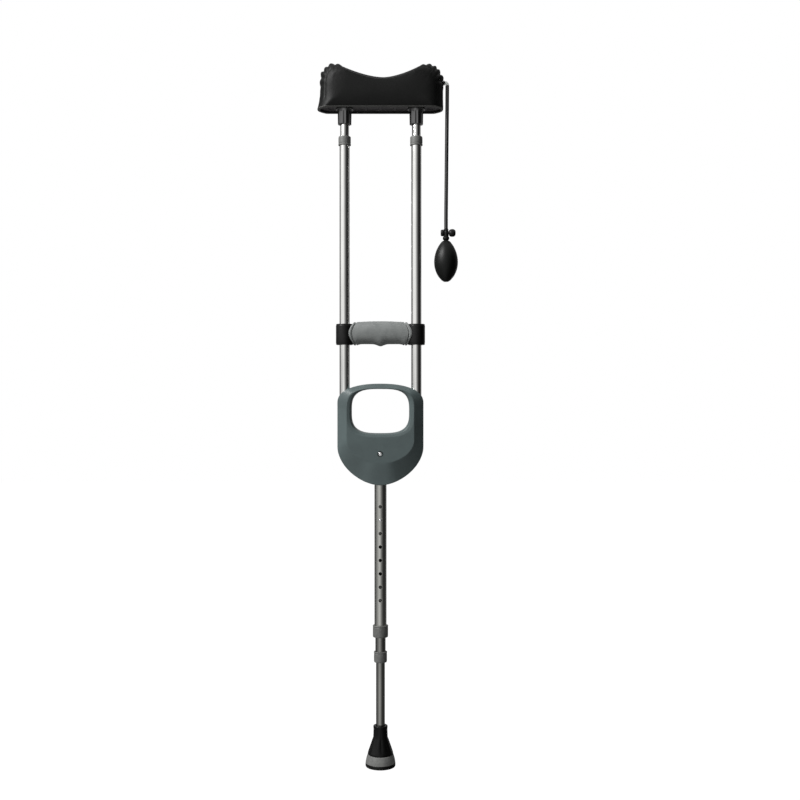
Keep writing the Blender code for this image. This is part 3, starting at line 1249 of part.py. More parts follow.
# Air line
def make_air_line():
    inside = nipple_x - NIPPLE_INSIDE + FIT
    nipple = (
        (NIPPLE_BORE, 0),
        (NIPPLE_RADIUS, 0),
        (NIPPLE_RADIUS, nipple_x - inside),
        (NIPPLE_FLANGE_RADIUS, nipple_x - inside),
        (NIPPLE_FLANGE_RADIUS, nipple_x + NIPPLE_FLANGE - inside),
        (NIPPLE_RADIUS, nipple_x + NIPPLE_FLANGE - inside),
        (NIPPLE_RADIUS * 0.9, nipple_x + NIPPLE_FLANGE + NIPPLE_STUB - inside),
        (NIPPLE_BORE, nipple_x + NIPPLE_FLANGE + NIPPLE_STUB - inside),
    )
    turned(
        "air_nipple", BLACK_PLASTIC, nipple, (inside, 0, nipple_z), pad_slide, segments=SMALL_ROUND, turn=ALONG_X
    )

    # Elbow: a barrel on the nipple, then a quarter bend down to the hose
    bm = bmesh.new()
    add_rod(bm, (0, 0, 0), (ELBOW_BARREL, 0, 0), ELBOW_BARREL_RADIUS, SMALL_ROUND, ELBOW_RADIUS)
    end_face = max(bm.faces, key=lambda face: face.calc_center_median().x)
    swept = [end_face, *end_face.edges, *end_face.verts]
    bmesh.ops.spin(
        bm, geom=swept, cent=(ELBOW_BARREL, 0, -ELBOW_BEND), axis=(0, 1, 0), angle=math.pi / 2, steps=6
    )
    bmesh.ops.remove_doubles(bm, verts=bm.verts, dist=1e-6)
    inner_walls = [face for face in bm.faces if all(not edge.is_manifold for edge in face.edges)]
    bmesh.ops.delete(bm, geom=inner_walls, context="FACES_ONLY")
    elbow = add_object("hose_elbow", bm, CLEAR_PLASTIC, (elbow_x, 0, nipple_z), hose_swing)
    socket = ((elbow_x - OVERCUT, 0, nipple_z), (elbow_x + NIPPLE_STUB + FIT, 0, nipple_z), NIPPLE_RADIUS + FIT)
    cut(elbow, tool("elbow_socket", [socket]))
    across = ((elbow_x, 0, nipple_z), (hose_x, 0, nipple_z), ELBOW_BORE, 12)
    cut(elbow, tool("elbow_bore_across", [across]))
    down = ((hose_x, 0, nipple_z), (hose_x, 0, hose_z - OVERCUT), ELBOW_BORE, 12)
    cut(elbow, tool("elbow_bore_down", [down]))

    # Hose: a smooth curve through its route's points
    start = Vector((hose_x, 0, hose_z))
    route = [start + Vector(point) for point in HOSE_ROUTE]

    def on_route(share):
        position = share * (len(route) - 1)
        index = min(int(position), len(route) - 2)
        t = position - index
        p0, p1 = route[max(index - 1, 0)], route[index]
        p2, p3 = route[index + 1], route[min(index + 2, len(route) - 1)]
        return 0.5 * (
            2 * p1 + (p2 - p0) * t + (2 * p0 - 5 * p1 + 4 * p2 - p3) * t**2 + (3 * p1 - p0 - 3 * p2 + p3) * t**3
        )

    curve = bpy.data.curves.new("air_hose", "CURVE")
    curve.dimensions = "3D"
    curve.bevel_depth = HOSE_RADIUS
    curve.bevel_resolution = 2
    curve.use_fill_caps = True
    spline = curve.splines.new("POLY")
    spline.points.add(HOSE_POINTS - 1)
    for i, point in enumerate(spline.points):
        point.co = (*(on_route(i / (HOSE_POINTS - 1)) - start), 1)
    curve.materials.append(BLACK_RUBBER)
    hose = bpy.data.objects.new("air_hose", curve)
    bpy.context.scene.collection.objects.link(hose)
    place(hose, start, hose_swing)

    # Release valve: an upright barrel with a cross bore, a round cap on its left and the knob on its right
    barrel = (
        (0, -VALVE_SPIGOT),
        (VALVE_SPIGOT_RADIUS, -VALVE_SPIGOT),
        (VALVE_SPIGOT_RADIUS, 0),
        (VALVE_RADIUS, 0),
        (VALVE_RADIUS, VALVE_BARREL - VALVE_RADIUS / 4),
        (HOSE_RADIUS, VALVE_BARREL),
        (0, VALVE_BARREL),
    )
    valve = turned(
        "release_valve_body", BLACK_PLASTIC, barrel, (valve_x, valve_y, valve_bottom), hose_swing,
        segments=SMALL_ROUND,
    )
    here = Vector((valve_x, valve_y, valve_cross_z))
    cross = (here - Vector((VALVE_CAP_AT, 0, 0)), here + Vector((KNOB_AT - FIT, 0, 0)), VALVE_CROSS_RADIUS)
    fuse(valve, tool("valve_cross", [cross]))
    cap_start = here - Vector((VALVE_CAP_AT - OVERCUT / 2, 0, 0))
    cap_end = cap_start - Vector((VALVE_CAP, 0, 0))
    fuse(valve, tool("valve_cap", [(cap_start, cap_end, VALVE_CAP_RADIUS)]))
    spindle_end = KNOB_AT - KNOB_SPINDLE
    spindle_bore = (
        here + Vector((spindle_end - FIT, 0, 0)), here + Vector((KNOB_AT + OVERCUT, 0, 0)),
        KNOB_SPINDLE_RADIUS + FIT,
    )
    cut(valve, tool("valve_spindle_bore", [spindle_bore]))

    knob_axis = joint_axis("release_valve_axis", tuple(here), hose_swing)
    knob = (
        (0, -KNOB_SPINDLE),
        (KNOB_SPINDLE_RADIUS, -KNOB_SPINDLE),
        (KNOB_SPINDLE_RADIUS, 0),
        (KNOB_RADIUS * 0.72, 0),
        (KNOB_RADIUS, KNOB_LENGTH * 0.3),
        (KNOB_RADIUS, KNOB_LENGTH * 0.8),
        (KNOB_RADIUS * 0.62, KNOB_LENGTH),
        (0, KNOB_LENGTH),
    )

    def knurled(point):
        radius = point.xy.length
        if radius < KNOB_RADIUS * 0.9:
            return point
        wave = 0.5 + 0.5 * math.cos(KNOB_FLUTES * math.atan2(point.y, point.x))
        shrink = 1 - KNOB_FLUTE_DEPTH * wave / radius
        return Vector((point.x * shrink, point.y * shrink, point.z))

    turned(
        "release_valve_knob", BLACK_PLASTIC, knob, tuple(here + Vector((KNOB_AT, 0, 0))), knob_axis,
        segments=KNOB_FLUTES * 2, warp=knurled, turn=ALONG_X,
    )

    # Squeeze bulb: a hollow rubber shell, open at its neck and at the inlet valve in its flat end
    def bulb_line(radius, upper, lower, stop_up, stop_down):
        points = []
        steps = 7
        for i in range(steps + 1):
            share = stop_down + (stop_up - stop_down) * i / steps
            half = upper if share > 0 else lower
            points.append((radius * (1 - share**2) ** BULB_POWER, share * half))
        return points

    outer = bulb_line(BULB_RADIUS, BULB_UPPER, BULB_LOWER, 0.93, -BULB_CUT)
    inner = bulb_line(
        BULB_RADIUS - BULB_WALL, BULB_UPPER - BULB_WALL, BULB_LOWER - BULB_WALL, 0.90, -BULB_CUT * 0.965
    )
    neck_top = bulb_top - bulb_centre
    neck_bore = VALVE_SPIGOT_RADIUS + FIT
    inlet_bore = INLET_RADIUS + FIT
    shell = [
        *outer,
        (BULB_NECK_RADIUS * 0.82, neck_top - BULB_NECK * 0.9),
        (BULB_NECK_RADIUS, neck_top - BULB_NECK * 0.6),
        (BULB_NECK_RADIUS * 0.9, neck_top),
        (neck_bore, neck_top),
        (neck_bore, inner[-1][1] + BULB_WALL / 2),
        *reversed(inner),
        (inlet_bore, inner[0][1]),
        (inlet_bore, outer[0][1]),
    ]
    turned("squeeze_bulb", BLACK_RUBBER, shell, (valve_x, valve_y, bulb_centre), hose_swing, segments=20)
    inlet = (
        (INLET_BORE, -INLET_FLANGE),
        (INLET_FLANGE_RADIUS, -INLET_FLANGE),
        (INLET_FLANGE_RADIUS, -FIT),
        (INLET_RADIUS, -FIT),
        (INLET_RADIUS, INLET_LENGTH),
        (INLET_BORE, INLET_LENGTH),
    )
    turned(
        "bulb_inlet_valve", BLACK_PLASTIC, inlet, (valve_x, valve_y, bulb_bottom), hose_swing, segments=SMALL_ROUND
    )


make_foot()
make_leg()
make_snap_buttons()
make_side_tubes()
make_yoke()
make_grip()
make_pad()
make_air_line()
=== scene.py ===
import json
import math

import bmesh
import bpy
from mathutils import Matrix, Vector, noise

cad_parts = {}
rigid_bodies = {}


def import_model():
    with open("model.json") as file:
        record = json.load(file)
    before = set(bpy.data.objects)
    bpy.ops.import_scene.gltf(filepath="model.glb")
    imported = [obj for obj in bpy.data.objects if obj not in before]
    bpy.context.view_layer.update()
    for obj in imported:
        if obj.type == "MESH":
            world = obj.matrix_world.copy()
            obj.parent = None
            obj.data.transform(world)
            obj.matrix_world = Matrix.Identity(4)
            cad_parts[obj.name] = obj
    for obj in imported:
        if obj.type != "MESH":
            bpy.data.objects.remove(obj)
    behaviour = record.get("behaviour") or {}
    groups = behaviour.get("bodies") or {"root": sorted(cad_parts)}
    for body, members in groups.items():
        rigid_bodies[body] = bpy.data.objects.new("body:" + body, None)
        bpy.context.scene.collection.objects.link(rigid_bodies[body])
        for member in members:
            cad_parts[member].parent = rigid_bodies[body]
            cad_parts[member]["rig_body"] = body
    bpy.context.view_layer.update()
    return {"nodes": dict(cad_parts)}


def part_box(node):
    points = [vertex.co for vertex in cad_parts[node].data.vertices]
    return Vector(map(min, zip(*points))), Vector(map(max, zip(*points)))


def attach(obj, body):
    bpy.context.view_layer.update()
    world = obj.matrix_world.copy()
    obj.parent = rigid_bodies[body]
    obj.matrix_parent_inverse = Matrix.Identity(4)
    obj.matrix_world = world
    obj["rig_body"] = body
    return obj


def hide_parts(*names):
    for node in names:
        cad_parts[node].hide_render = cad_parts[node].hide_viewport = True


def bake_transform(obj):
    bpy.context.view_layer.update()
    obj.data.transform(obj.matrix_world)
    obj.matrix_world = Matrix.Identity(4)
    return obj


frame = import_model()
scene = bpy.context.scene
print("stage: frame loaded,", len(frame["nodes"]), "nodes")

# Camera: level, a little to the right of the leg, looking at the lower half of the yoke
camera = {
    "place": (0.0366, -2.0344, 0.6857),
    "photoWidth": 800,
    "focalPixels": 1085.0,
    "sensorWidth": 36.0,
}
cameraData = bpy.data.cameras.new("camera")
cameraData.sensor_width = camera["sensorWidth"]
cameraData.lens = camera["focalPixels"] / camera["photoWidth"] * camera["sensorWidth"]
cameraObject = bpy.data.objects.new("camera", cameraData)
cameraObject.location = camera["place"]
cameraObject.rotation_euler = (math.radians(90), 0, 0)
scene.collection.objects.link(cameraObject)
scene.camera = cameraObject
scene.view_settings.view_transform = "Standard"


# Node trees
def newTree(name):
    material = bpy.data.materials.new(name)
    material.use_nodes = True
    tree = material.node_tree
    return material, tree, tree.nodes["Principled BSDF"]


def evenly(value):
    # one number stands for all three axes, or for a grey
    return value if isinstance(value, tuple) else (value,) * 3


def plug(tree, node, values):
    # keys are a node's sockets; a value is a number, a colour or another node's output
    for key, value in values.items():
        if hasattr(value, "is_output"):
            tree.links.new(value, node.inputs[key])
        elif node.inputs[key].type == "RGBA":
            node.inputs[key].default_value = (*evenly(value), 1.0)
        else:
            node.inputs[key].default_value = value


def addNode(tree, kind, values=None, **settings):
    node = tree.nodes.new(kind)
    for key, value in settings.items():
        setattr(node, key, value)
    plug(tree, node, values or {})
    return node


def calculate(tree, operation, *values):
    return addNode(tree, "ShaderNodeMath", dict(enumerate(values)), operation=operation).outputs[0]


def remap(tree, value, low, high, toLow=0.0, toHigh=1.0):
    return addNode(tree, "ShaderNodeMapRange", {0: value, 1: low, 2: high, 3: toLow, 4: toHigh}).outputs[0]


def mixColours(tree, share, first, second):
    return addNode(tree, "ShaderNodeMix", {0: share, 6: first, 7: second}, data_type="RGBA").outputs[2]


def mixLevels(tree, share, first, second):
    return addNode(tree, "ShaderNodeMix", {0: share, 2: first, 3: second}, data_type="FLOAT").outputs[0]


def splitUp(tree, vector):
    return addNode(tree, "ShaderNodeSeparateXYZ", {"Vector": vector}).outputs


def objectPlace(tree):
    return addNode(tree, "ShaderNodeTexCoord").outputs["Object"]


def grainAt(tree, stretch, detail, roughness):
    # stretch is the number of features in a metre
    scaled = {"Vector": objectPlace(tree), "Scale": evenly(stretch)}
    mapped = addNode(tree, "ShaderNodeMapping", scaled).outputs["Vector"]
    noisy = {"Vector": mapped, "Scale": 1.0, "Detail": detail, "Roughness": roughness}
    return addNode(tree, "ShaderNodeTexNoise", noisy).outputs["Fac"]


def bumps(tree, shader, height, look):
    raised = {"Height": height, "Strength": look["bump"], "Distance": look["bumpDepth"]}
    plug(tree, shader, {"Normal": addNode(tree, "ShaderNodeBump", raised).outputs["Normal"]})


def wornEdges(tree, start, end):
    return remap(tree, addNode(tree, "ShaderNodeNewGeometry").outputs["Pointiness"], start, end)


# Metals: fine lines along z, cloudy roughness and a faint change of tone
metal = {
    "roughSpread": 0.03, "lines": (900, 900, 14), "clouds": (34, 34, 10), "bump": 0.008, "bumpDepth": 0.0001,
}
steel = {"roughSpread": 0.04, "lines": 1500, "clouds": 90, "bump": 0.08}
legDullPaintedShade = {
    "colour": (0.33, 0.33, 0.31), "darker": (0.27, 0.27, 0.255), "roughness": 0.22,
    # hidden is painted shade: a near-black tone for the length that sits inside the next tube
    "hidden": (0.075, 0.075, 0.070), "hiddenOver": 0.004, "hiddenFade": 0.004,
}


def metalFinish(name, look, paintedShadeUnder=None):
    look = {**metal, **look}
    material, tree, shader = newTree(name)
    lines = grainAt(tree, look["lines"], 3.0, 0.6)
    clouds = grainAt(tree, look["clouds"], 2.0, 0.5)
    tone = mixColours(tree, remap(tree, clouds, 0.35, 0.65), look["colour"], look["darker"])
    if paintedShadeUnder:
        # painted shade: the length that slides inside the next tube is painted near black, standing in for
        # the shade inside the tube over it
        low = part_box(paintedShadeUnder)[0].z + look["hiddenOver"]
        height = splitUp(tree, objectPlace(tree))["Z"]
        tone = mixColours(tree, remap(tree, height, low, low + look["hiddenFade"]), tone, look["hidden"])
    rough, spread = look["roughness"], look["roughSpread"]
    rough = calculate(tree, "ADD", remap(tree, lines, 0.3, 0.7, -spread, spread),
                      remap(tree, clouds, 0.3, 0.7, rough - 0.02, rough + 0.03))
    plug(tree, shader, {"Base Color": tone, "Roughness": rough, "Metallic": 1.0})
    bumps(tree, shader, lines, look)
    return material


tubeShine = metalFinish("tubeShine", {
    "colour": (0.86, 0.86, 0.84), "darker": (0.74, 0.74, 0.72), "roughness": 0.13, "roughSpread": 0.02,
    "clouds": (30, 30, 9), "bump": 0.006,
})
legShine = metalFinish("legShine", {
    "colour": (0.56, 0.56, 0.53), "darker": (0.48, 0.48, 0.45), "roughness": 0.24,
})
# dull leg finish with painted shade on the length inside the tube above
legDullMiddle = metalFinish("legDullMiddle", legDullPaintedShade, "leg_upper_collar")
legDullLower = metalFinish("legDullLower", legDullPaintedShade, "leg_lower_collar")
brightSteel = metalFinish("brightSteel", {**steel, "colour": 0.80, "darker": 0.68, "roughness": 0.16})
dullSteel = metalFinish("dullSteel", {
    **steel, "colour": (0.12, 0.12, 0.115), "darker": (0.09, 0.09, 0.085), "roughness": 0.34,
})


# Moulded plastics and rubbers: cloudy tone, fine grain and paler edges
moulded = {
    "roughSpread": 0.06, "specular": 0.40, "ior": 1.5, "speckle": 0.30, "edgeWear": True,
    "clouds": 120, "grain": 1300, "bump": 0.15, "bumpDepth": 0.0002,
}


def plasticFinish(name, look):
    look = {**moulded, **look}
    material, tree, shader = newTree(name)
    clouds = grainAt(tree, look["clouds"], 3.0, 0.55)
    grain = grainAt(tree, look["grain"], 4.0, 0.6)
    tone = mixColours(tree, remap(tree, clouds, 0.32, 0.68), look["darker"], look["colour"])
    tone = mixColours(tree, remap(tree, grain, 0.45, 0.75, 0.0, look["speckle"]), tone, look["paler"])
    if look["edgeWear"]:
        tone = mixColours(tree, wornEdges(tree, 0.53, 0.62), tone, look["paler"])
    rough, spread = look["roughness"], look["roughSpread"]
    rough = remap(tree, grain, 0.3, 0.7, rough - spread, rough + spread)
    plug(tree, shader, {
        "Base Color": tone, "Roughness": rough, "Specular IOR Level": look["specular"], "IOR": look["ior"],
    })
    bumps(tree, shader, grain, look)
    return material


yokeShell = plasticFinish("yokeShell", {
    "colour": (0.088, 0.116, 0.116), "darker": (0.076, 0.099, 0.100), "paler": (0.140, 0.165, 0.162),
    "roughness": 0.42, "roughSpread": 0.05, "specular": 0.32, "speckle": 0.25, "edgeWear": False,
    "clouds": 24, "grain": 1400, "bump": 0.10,
})
collarGrey = plasticFinish("collarGrey", {
    "colour": (0.150, 0.152, 0.145), "darker": (0.105, 0.107, 0.103), "paler": (0.260, 0.260, 0.250),
    "roughness": 0.50, "speckle": 0.35, "clouds": 160, "grain": 1500, "bump": 0.14,
})
blackMoulding = plasticFinish("blackMoulding", {
    "colour": 0.007, "darker": 0.004, "paler": 0.018, "roughness": 0.36, "specular": 0.22, "speckle": 0.25,
    "bump": 0.16,
})
socketBlack = plasticFinish("socketBlack", {
    "colour": 0.005, "darker": 0.003, "paler": 0.014, "roughness": 0.10, "roughSpread": 0.03,
    "specular": 0.55, "ior": 2.1, "speckle": 0.20, "bump": 0.06,
})
plateBlack = plasticFinish("plateBlack", {
    "colour": (0.078, 0.073, 0.076), "darker": (0.064, 0.060, 0.062), "paler": (0.096, 0.092, 0.094),
    "roughness": 0.50, "roughSpread": 0.08, "specular": 0.25, "edgeWear": False, "clouds": 60, "grain": 1000,
    "bump": 0.14,
})
gripSleeve = plasticFinish("gripSleeve", {
    "colour": (0.225, 0.237, 0.232), "darker": (0.180, 0.191, 0.188), "paler": (0.310, 0.318, 0.312),
    "roughness": 0.62, "roughSpread": 0.08, "specular": 0.22, "speckle": 0.45, "clouds": 70, "grain": 900,
    "bump": 0.28, "bumpDepth": 0.0003,
})
bootRubber = plasticFinish("bootRubber", {
    "colour": 0.005, "darker": 0.003, "paler": (0.016, 0.017, 0.016), "roughness": 0.27, "specular": 0.15,
    "clouds": (110, 110, 60), "grain": 800, "bump": 0.22, "bumpDepth": 0.0003,
})
bulbRubber = plasticFinish("bulbRubber", {
    "colour": (0.0045, 0.0050, 0.0045), "darker": (0.003, 0.0035, 0.003), "paler": (0.014, 0.015, 0.014),
    "roughness": 0.44, "roughSpread": 0.05, "specular": 0.19, "clouds": 90, "grain": 1100, "bump": 0.20,
    "bumpDepth": 0.0003,
})
hoseRubber = plasticFinish("hoseRubber", {
    "colour": 0.006, "darker": 0.004, "paler": 0.016, "roughness": 0.19, "roughSpread": 0.04,
    "specular": 0.45, "ior": 1.85, "speckle": 0.20, "clouds": (140, 140, 40), "grain": (1200, 1200, 400),
    "bump": 0.10,
})
bandGrey = plasticFinish("bandGrey", {
    "colour": (0.205, 0.208, 0.200), "darker": (0.150, 0.152, 0.148), "paler": (0.300, 0.300, 0.290),
    "roughness": 0.58, "roughSpread": 0.08, "specular": 0.32, "speckle": 0.40, "grain": 900, "bump": 0.24,
    "bumpDepth": 0.0003,
})
bladderRubber = plasticFinish("bladderRubber", {
    "colour": (0.085, 0.085, 0.082), "darker": (0.060, 0.060, 0.058), "paler": (0.140, 0.140, 0.136),
    "roughness": 0.50, "clouds": 60, "grain": 700, "bumpDepth": 0.0003,
})


# Pad cover: coated cloth with leather cells and pores, paler on stretched edges, with a painted highlight
# along its lower rim
vinyl = {
    "colour": (0.0056, 0.0060, 0.0055), "darker": (0.0036, 0.0039, 0.0036), "crease": 0.003,
    # rim is a painted highlight: a pale band along the cover's lower edge
    "paler": (0.012, 0.013, 0.012), "rim": (0.110, 0.110, 0.105), "rimHeight": 0.0014, "rimFade": 0.0008,
    "roughness": 0.48, "specular": 0.14, "cells": 620.0, "grain": 1500, "clouds": 26, "bump": 0.16,
    "bumpDepth": 0.0002,
}


def vinylFinish(name, look):
    material, tree, shader = newTree(name)
    scaled = {"Vector": objectPlace(tree), "Scale": look["cells"], "Randomness": 1.0}
    cells = addNode(tree, "ShaderNodeTexVoronoi", scaled, feature="DISTANCE_TO_EDGE").outputs["Distance"]
    pores = grainAt(tree, look["grain"], 3.0, 0.6)
    clouds = grainAt(tree, look["clouds"], 3.0, 0.55)
    creases = remap(tree, cells, 0.0, 0.16)
    tone = mixColours(tree, remap(tree, clouds, 0.3, 0.7), look["darker"], look["colour"])
    tone = mixColours(tree, creases, look["crease"], tone)
    tone = mixColours(tree, wornEdges(tree, 0.54, 0.66), tone, look["paler"])
    # painted highlight: a pale band just over the cover's foot, where its lower edge catches light
    height, rim = splitUp(tree, objectPlace(tree))["Z"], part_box("pad_cover")[0].z + look["rimHeight"]
    tone = mixColours(tree, remap(tree, height, rim, rim + look["rimFade"], 1.0, 0.0), tone, look["rim"])
    rough = calculate(tree, "ADD",
                      remap(tree, clouds, 0.3, 0.7, look["roughness"] - 0.05, look["roughness"] + 0.05),
                      remap(tree, creases, 0.0, 1.0, 0.12, 0.0))
    plug(tree, shader, {"Base Color": tone, "Roughness": rough, "Specular IOR Level": look["specular"]})
    bumps(tree, shader, calculate(tree, "MULTIPLY_ADD", pores, 0.35, creases), look)
    return material


padVinyl = vinylFinish("padVinyl", vinyl)


# Elbow: clear moulded plastic with a cloudy skin
clear = {
    "colour": (0.90, 0.92, 0.90), "darker": (0.66, 0.69, 0.67), "roughness": 0.05, "transmission": 0.80,
    "ior": 1.46, "clouds": 240,
}


def clearFinish(name, look):
    material, tree, shader = newTree(name)
    clouds = grainAt(tree, look["clouds"], 2.0, 0.5)
    plug(tree, shader, {
        "Base Color": mixColours(tree, clouds, look["colour"], look["darker"]),
        "Roughness": remap(tree, clouds, 0.3, 0.7, look["roughness"], look["roughness"] + 0.12),
        "Transmission Weight": look["transmission"], "IOR": look["ior"],
    })
    return material


clearPlastic = clearFinish("clearPlastic", clear)
print("stage: finishes made")


# Shapes
smooth = {"large": 72, "small": 36, "fillet": 4, "sharpAngle": 40, "softAngle": 45, "softSegments": 2}
ends = ((-1, "left"), (1, "right"))
alongX = Matrix.Rotation(math.radians(90), 4, "Y")
alongMinusX = Matrix.Rotation(math.radians(-90), 4, "Y")
alongY = Matrix.Rotation(math.radians(-90), 4, "X")
alongMinusY = Matrix.Rotation(math.radians(90), 4, "X")
alongDepth = Vector((0, 1, 0))


def newObject(name, bm):
    mesh = bpy.data.meshes.new(name)
    bm.to_mesh(mesh)
    bm.free()
    piece = bpy.data.objects.new(name, mesh)
    scene.collection.objects.link(piece)
    return piece


def placed(bm, turn=None, at=None):
    if turn:
        bmesh.ops.transform(bm, matrix=turn, verts=bm.verts)
    if at:
        bmesh.ops.translate(bm, vec=at, verts=bm.verts)
    return bm


def pieceName(node):
    # side_tube_left becomes sideTube.left
    first, *words = node.split("_")
    tail = f".{words.pop()}" if words and (words[-1].isdigit() or words[-1] in ("left", "right")) else ""
    return first + "".join(word.title() for word in words) + tail


def addPiece(node, bm, finish, turn=None, at=None, name=None):
    placed(bm, turn, at)
    bmesh.ops.remove_doubles(bm, verts=bm.verts, dist=1e-6)
    bmesh.ops.recalc_face_normals(bm, faces=bm.faces)
    piece = newObject(name or pieceName(node), bm)
    piece.data.materials.append(finish)
    standFor(piece, node)
    shade(piece)
    return piece


def standFor(piece, node):
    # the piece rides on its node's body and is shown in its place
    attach(piece, frame["nodes"][node]["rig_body"])
    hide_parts(node)


def springBetween(piece):
    # a sprung piece is taken off its body, with its place baked into its mesh
    piece.parent = None
    del piece["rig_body"]
    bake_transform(piece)


def shade(piece):
    piece.data.shade_smooth()
    piece.data.set_sharp_from_angle(angle=math.radians(smooth["sharpAngle"]))


def settle(piece):
    # makes the evaluated shape the piece's own mesh
    depsgraph = bpy.context.evaluated_depsgraph_get()
    finished = bpy.data.meshes.new_from_object(piece.evaluated_get(depsgraph), depsgraph=depsgraph)
    worn = piece.data
    piece.modifiers.clear()
    piece.data = finished
    bpy.data.meshes.remove(worn)
    finished.name = piece.name


def change(piece, kind, **values):
    # puts one modifier on the piece and settles it
    step = piece.modifiers.new(kind.lower(), kind)
    for key, value in values.items():
        setattr(step, key, value)
    settle(piece)


def addTool(bm):
    bmesh.ops.recalc_face_normals(bm, faces=bm.faces)
    return newObject("tool", bm)


def cutWith(piece, tool, operation="DIFFERENCE", solver="MANIFOLD"):
    change(piece, "BOOLEAN", operation=operation, solver=solver, object=tool)
    bpy.data.objects.remove(tool, do_unlink=True)


def carve(piece, bm, operation="DIFFERENCE", solver="MANIFOLD", bevel=0.0):
    cutWith(piece, addTool(bm), operation, solver)
    if bevel:
        change(piece, "BEVEL", width=bevel, segments=smooth["softSegments"], limit_method="ANGLE",
               angle_limit=math.radians(smooth["softAngle"]))
    shade(piece)


def join(piece, bm, solver="MANIFOLD"):
    carve(piece, bm, "UNION", solver)


def rounded(profile, closed):
    # corners written as (radius, height, fillet) become short curves
    points = []
    for i, (radius, height, *fillet) in enumerate(profile):
        corner = Vector((radius, height))
        if not fillet or (not closed and i in (0, len(profile) - 1)):
            points.append(corner)
            continue
        before = Vector(profile[i - 1][:2])
        after = Vector(profile[(i + 1) % len(profile)][:2])
        points += curveRound(before, corner, after, fillet[0])
    return points


def curveRound(before, corner, after, size):
    start = corner + (before - corner).normalized() * size
    end = corner + (after - corner).normalized() * size
    shares = [step / smooth["fillet"] for step in range(smooth["fillet"] + 1)]
    return [(1 - t) ** 2 * start + 2 * t * (1 - t) * corner + t * t * end for t in shares]


def addLine(bm, points, closed=False):
    verts = [bm.verts.new(point) for point in points]
    edges = [bm.edges.new(pair) for pair in zip(verts, verts[1:])]
    if closed:
        edges.append(bm.edges.new((verts[-1], verts[0])))
    return verts, edges


def spun(points, steps, closed):
    bm = bmesh.new()
    verts, edges = addLine(bm, points, closed)
    bmesh.ops.spin(bm, geom=verts + edges, cent=(0, 0, 0), axis=(0, 0, 1), angle=math.tau, steps=steps,
                   use_merge=True)
    return bm


def lathe(profile, segments=smooth["large"], warp=None):
    # a profile of (radius, height) turned about z: a loop, or a line that starts and ends on the axis
    closed = profile[0][0] > 0
    bm = spun([(point.x, 0, point.y) for point in rounded(profile, closed)], segments, closed)
    bmesh.ops.remove_doubles(bm, verts=bm.verts, dist=1e-6)
    if warp:
        for vert in bm.verts:
            vert.co = warp(vert.co)
    return bm


def shrunk(point, amount):
    # the point drawn towards the z axis by a share of its distance
    return Vector((point.x * (1 - amount), point.y * (1 - amount), point.z))


def stackRings(stations, segments, closed=True):
    # each station gives a ring's point for an angle; closed joins the last ring to the first
    bm = spun([(1 + k, 0, 0) for k in range(len(stations))], segments, closed)
    layer = bm.verts.layers.int.new("station")
    for vert in bm.verts:
        vert[layer] = round(vert.co.xy.length) - 1
        vert.co = stations[vert[layer]](math.atan2(vert.co.y, vert.co.x))
    if not closed:
        for k in (0, len(stations) - 1):
            rim = [edge for edge in bm.edges if edge.is_boundary and edge.verts[0][layer] == k]
            if rim:
                bmesh.ops.contextual_create(bm, geom=rim)
    return bm


def addRod(bm, start, end, radius, segments=32):
    start, end = Vector(start), Vector(end)
    place = Matrix.Translation((start + end) / 2) @ (end - start).to_track_quat("Z", "Y").to_matrix().to_4x4()
    bmesh.ops.create_cone(bm, cap_ends=True, segments=segments, radius1=radius, radius2=radius,
                          depth=(end - start).length, matrix=place)


def addBlock(bm, low, high, bevel=0.0):
    low, high = Vector(low), Vector(high)
    size = Matrix.Diagonal((*(high - low), 1))
    verts = bmesh.ops.create_cube(bm, size=1.0, matrix=Matrix.Translation((low + high) / 2) @ size)["verts"]
    if bevel:
        edges = list({edge for vert in verts for edge in vert.link_edges})
        bmesh.ops.bevel(bm, geom=edges, offset=bevel, segments=3, profile=0.5, affect="EDGES", material=-1)


def several(add, items):
    bm = bmesh.new()
    for item in items:
        add(bm, *item)
    return bm


def rods(*items):
    return several(addRod, items)


def blocks(*items):
    return several(addBlock, items)


def limited(value, low=0.0, high=1.0):
    return min(high, max(low, value))


# Room: white all round to the camera. Gloss sees a studio that is bright at the left and dark at the right
room = {
    "floorHalf": 7.0,
    "floorColour": 0.36,
    "seenShare": 0.84,          # how much of the floor the camera sees as plain white
    "glow": 1.20,
    # Brightness round the horizon, counted from behind the object, over its left, to behind again
    "highWalls": ((0.00, 0.50), (0.08, 0.40), (0.16, 0.10), (0.21, 0.16), (0.25, 0.98), (0.28, 1.08),
                  (0.42, 1.05), (0.46, 0.85), (0.495, 0.52), (0.53, 0.30), (0.56, 0.18), (0.62, 0.03),
                  (0.70, 0.01), (0.78, 0.03), (0.85, 0.30), (1.00, 0.50)),
    "lowWalls": ((0.00, 0.30), (0.08, 0.20), (0.19, 0.05), (0.275, 0.22), (0.336, 0.42), (0.394, 0.64),
                 (0.445, 0.98), (0.49, 0.76), (0.544, 0.34), (0.597, 0.13), (0.65, 0.03), (0.72, 0.01),
                 (0.79, 0.04), (0.89, 0.20), (1.00, 0.30)),
    "changes": (-0.06, 0.12),   # slopes between which the low walls turn into the high ones
    "opens": (0.45, 0.95),      # slopes between which the high walls turn into the ceiling
    "ceiling": 0.90,
    "ambient": 0.125,
    "lampPlace": (-2.01, -1.41, 2.81), "lampAim": (0.0, 0.0, 0.75), "lampSize": 1.2, "lampWatts": 145.0,
}


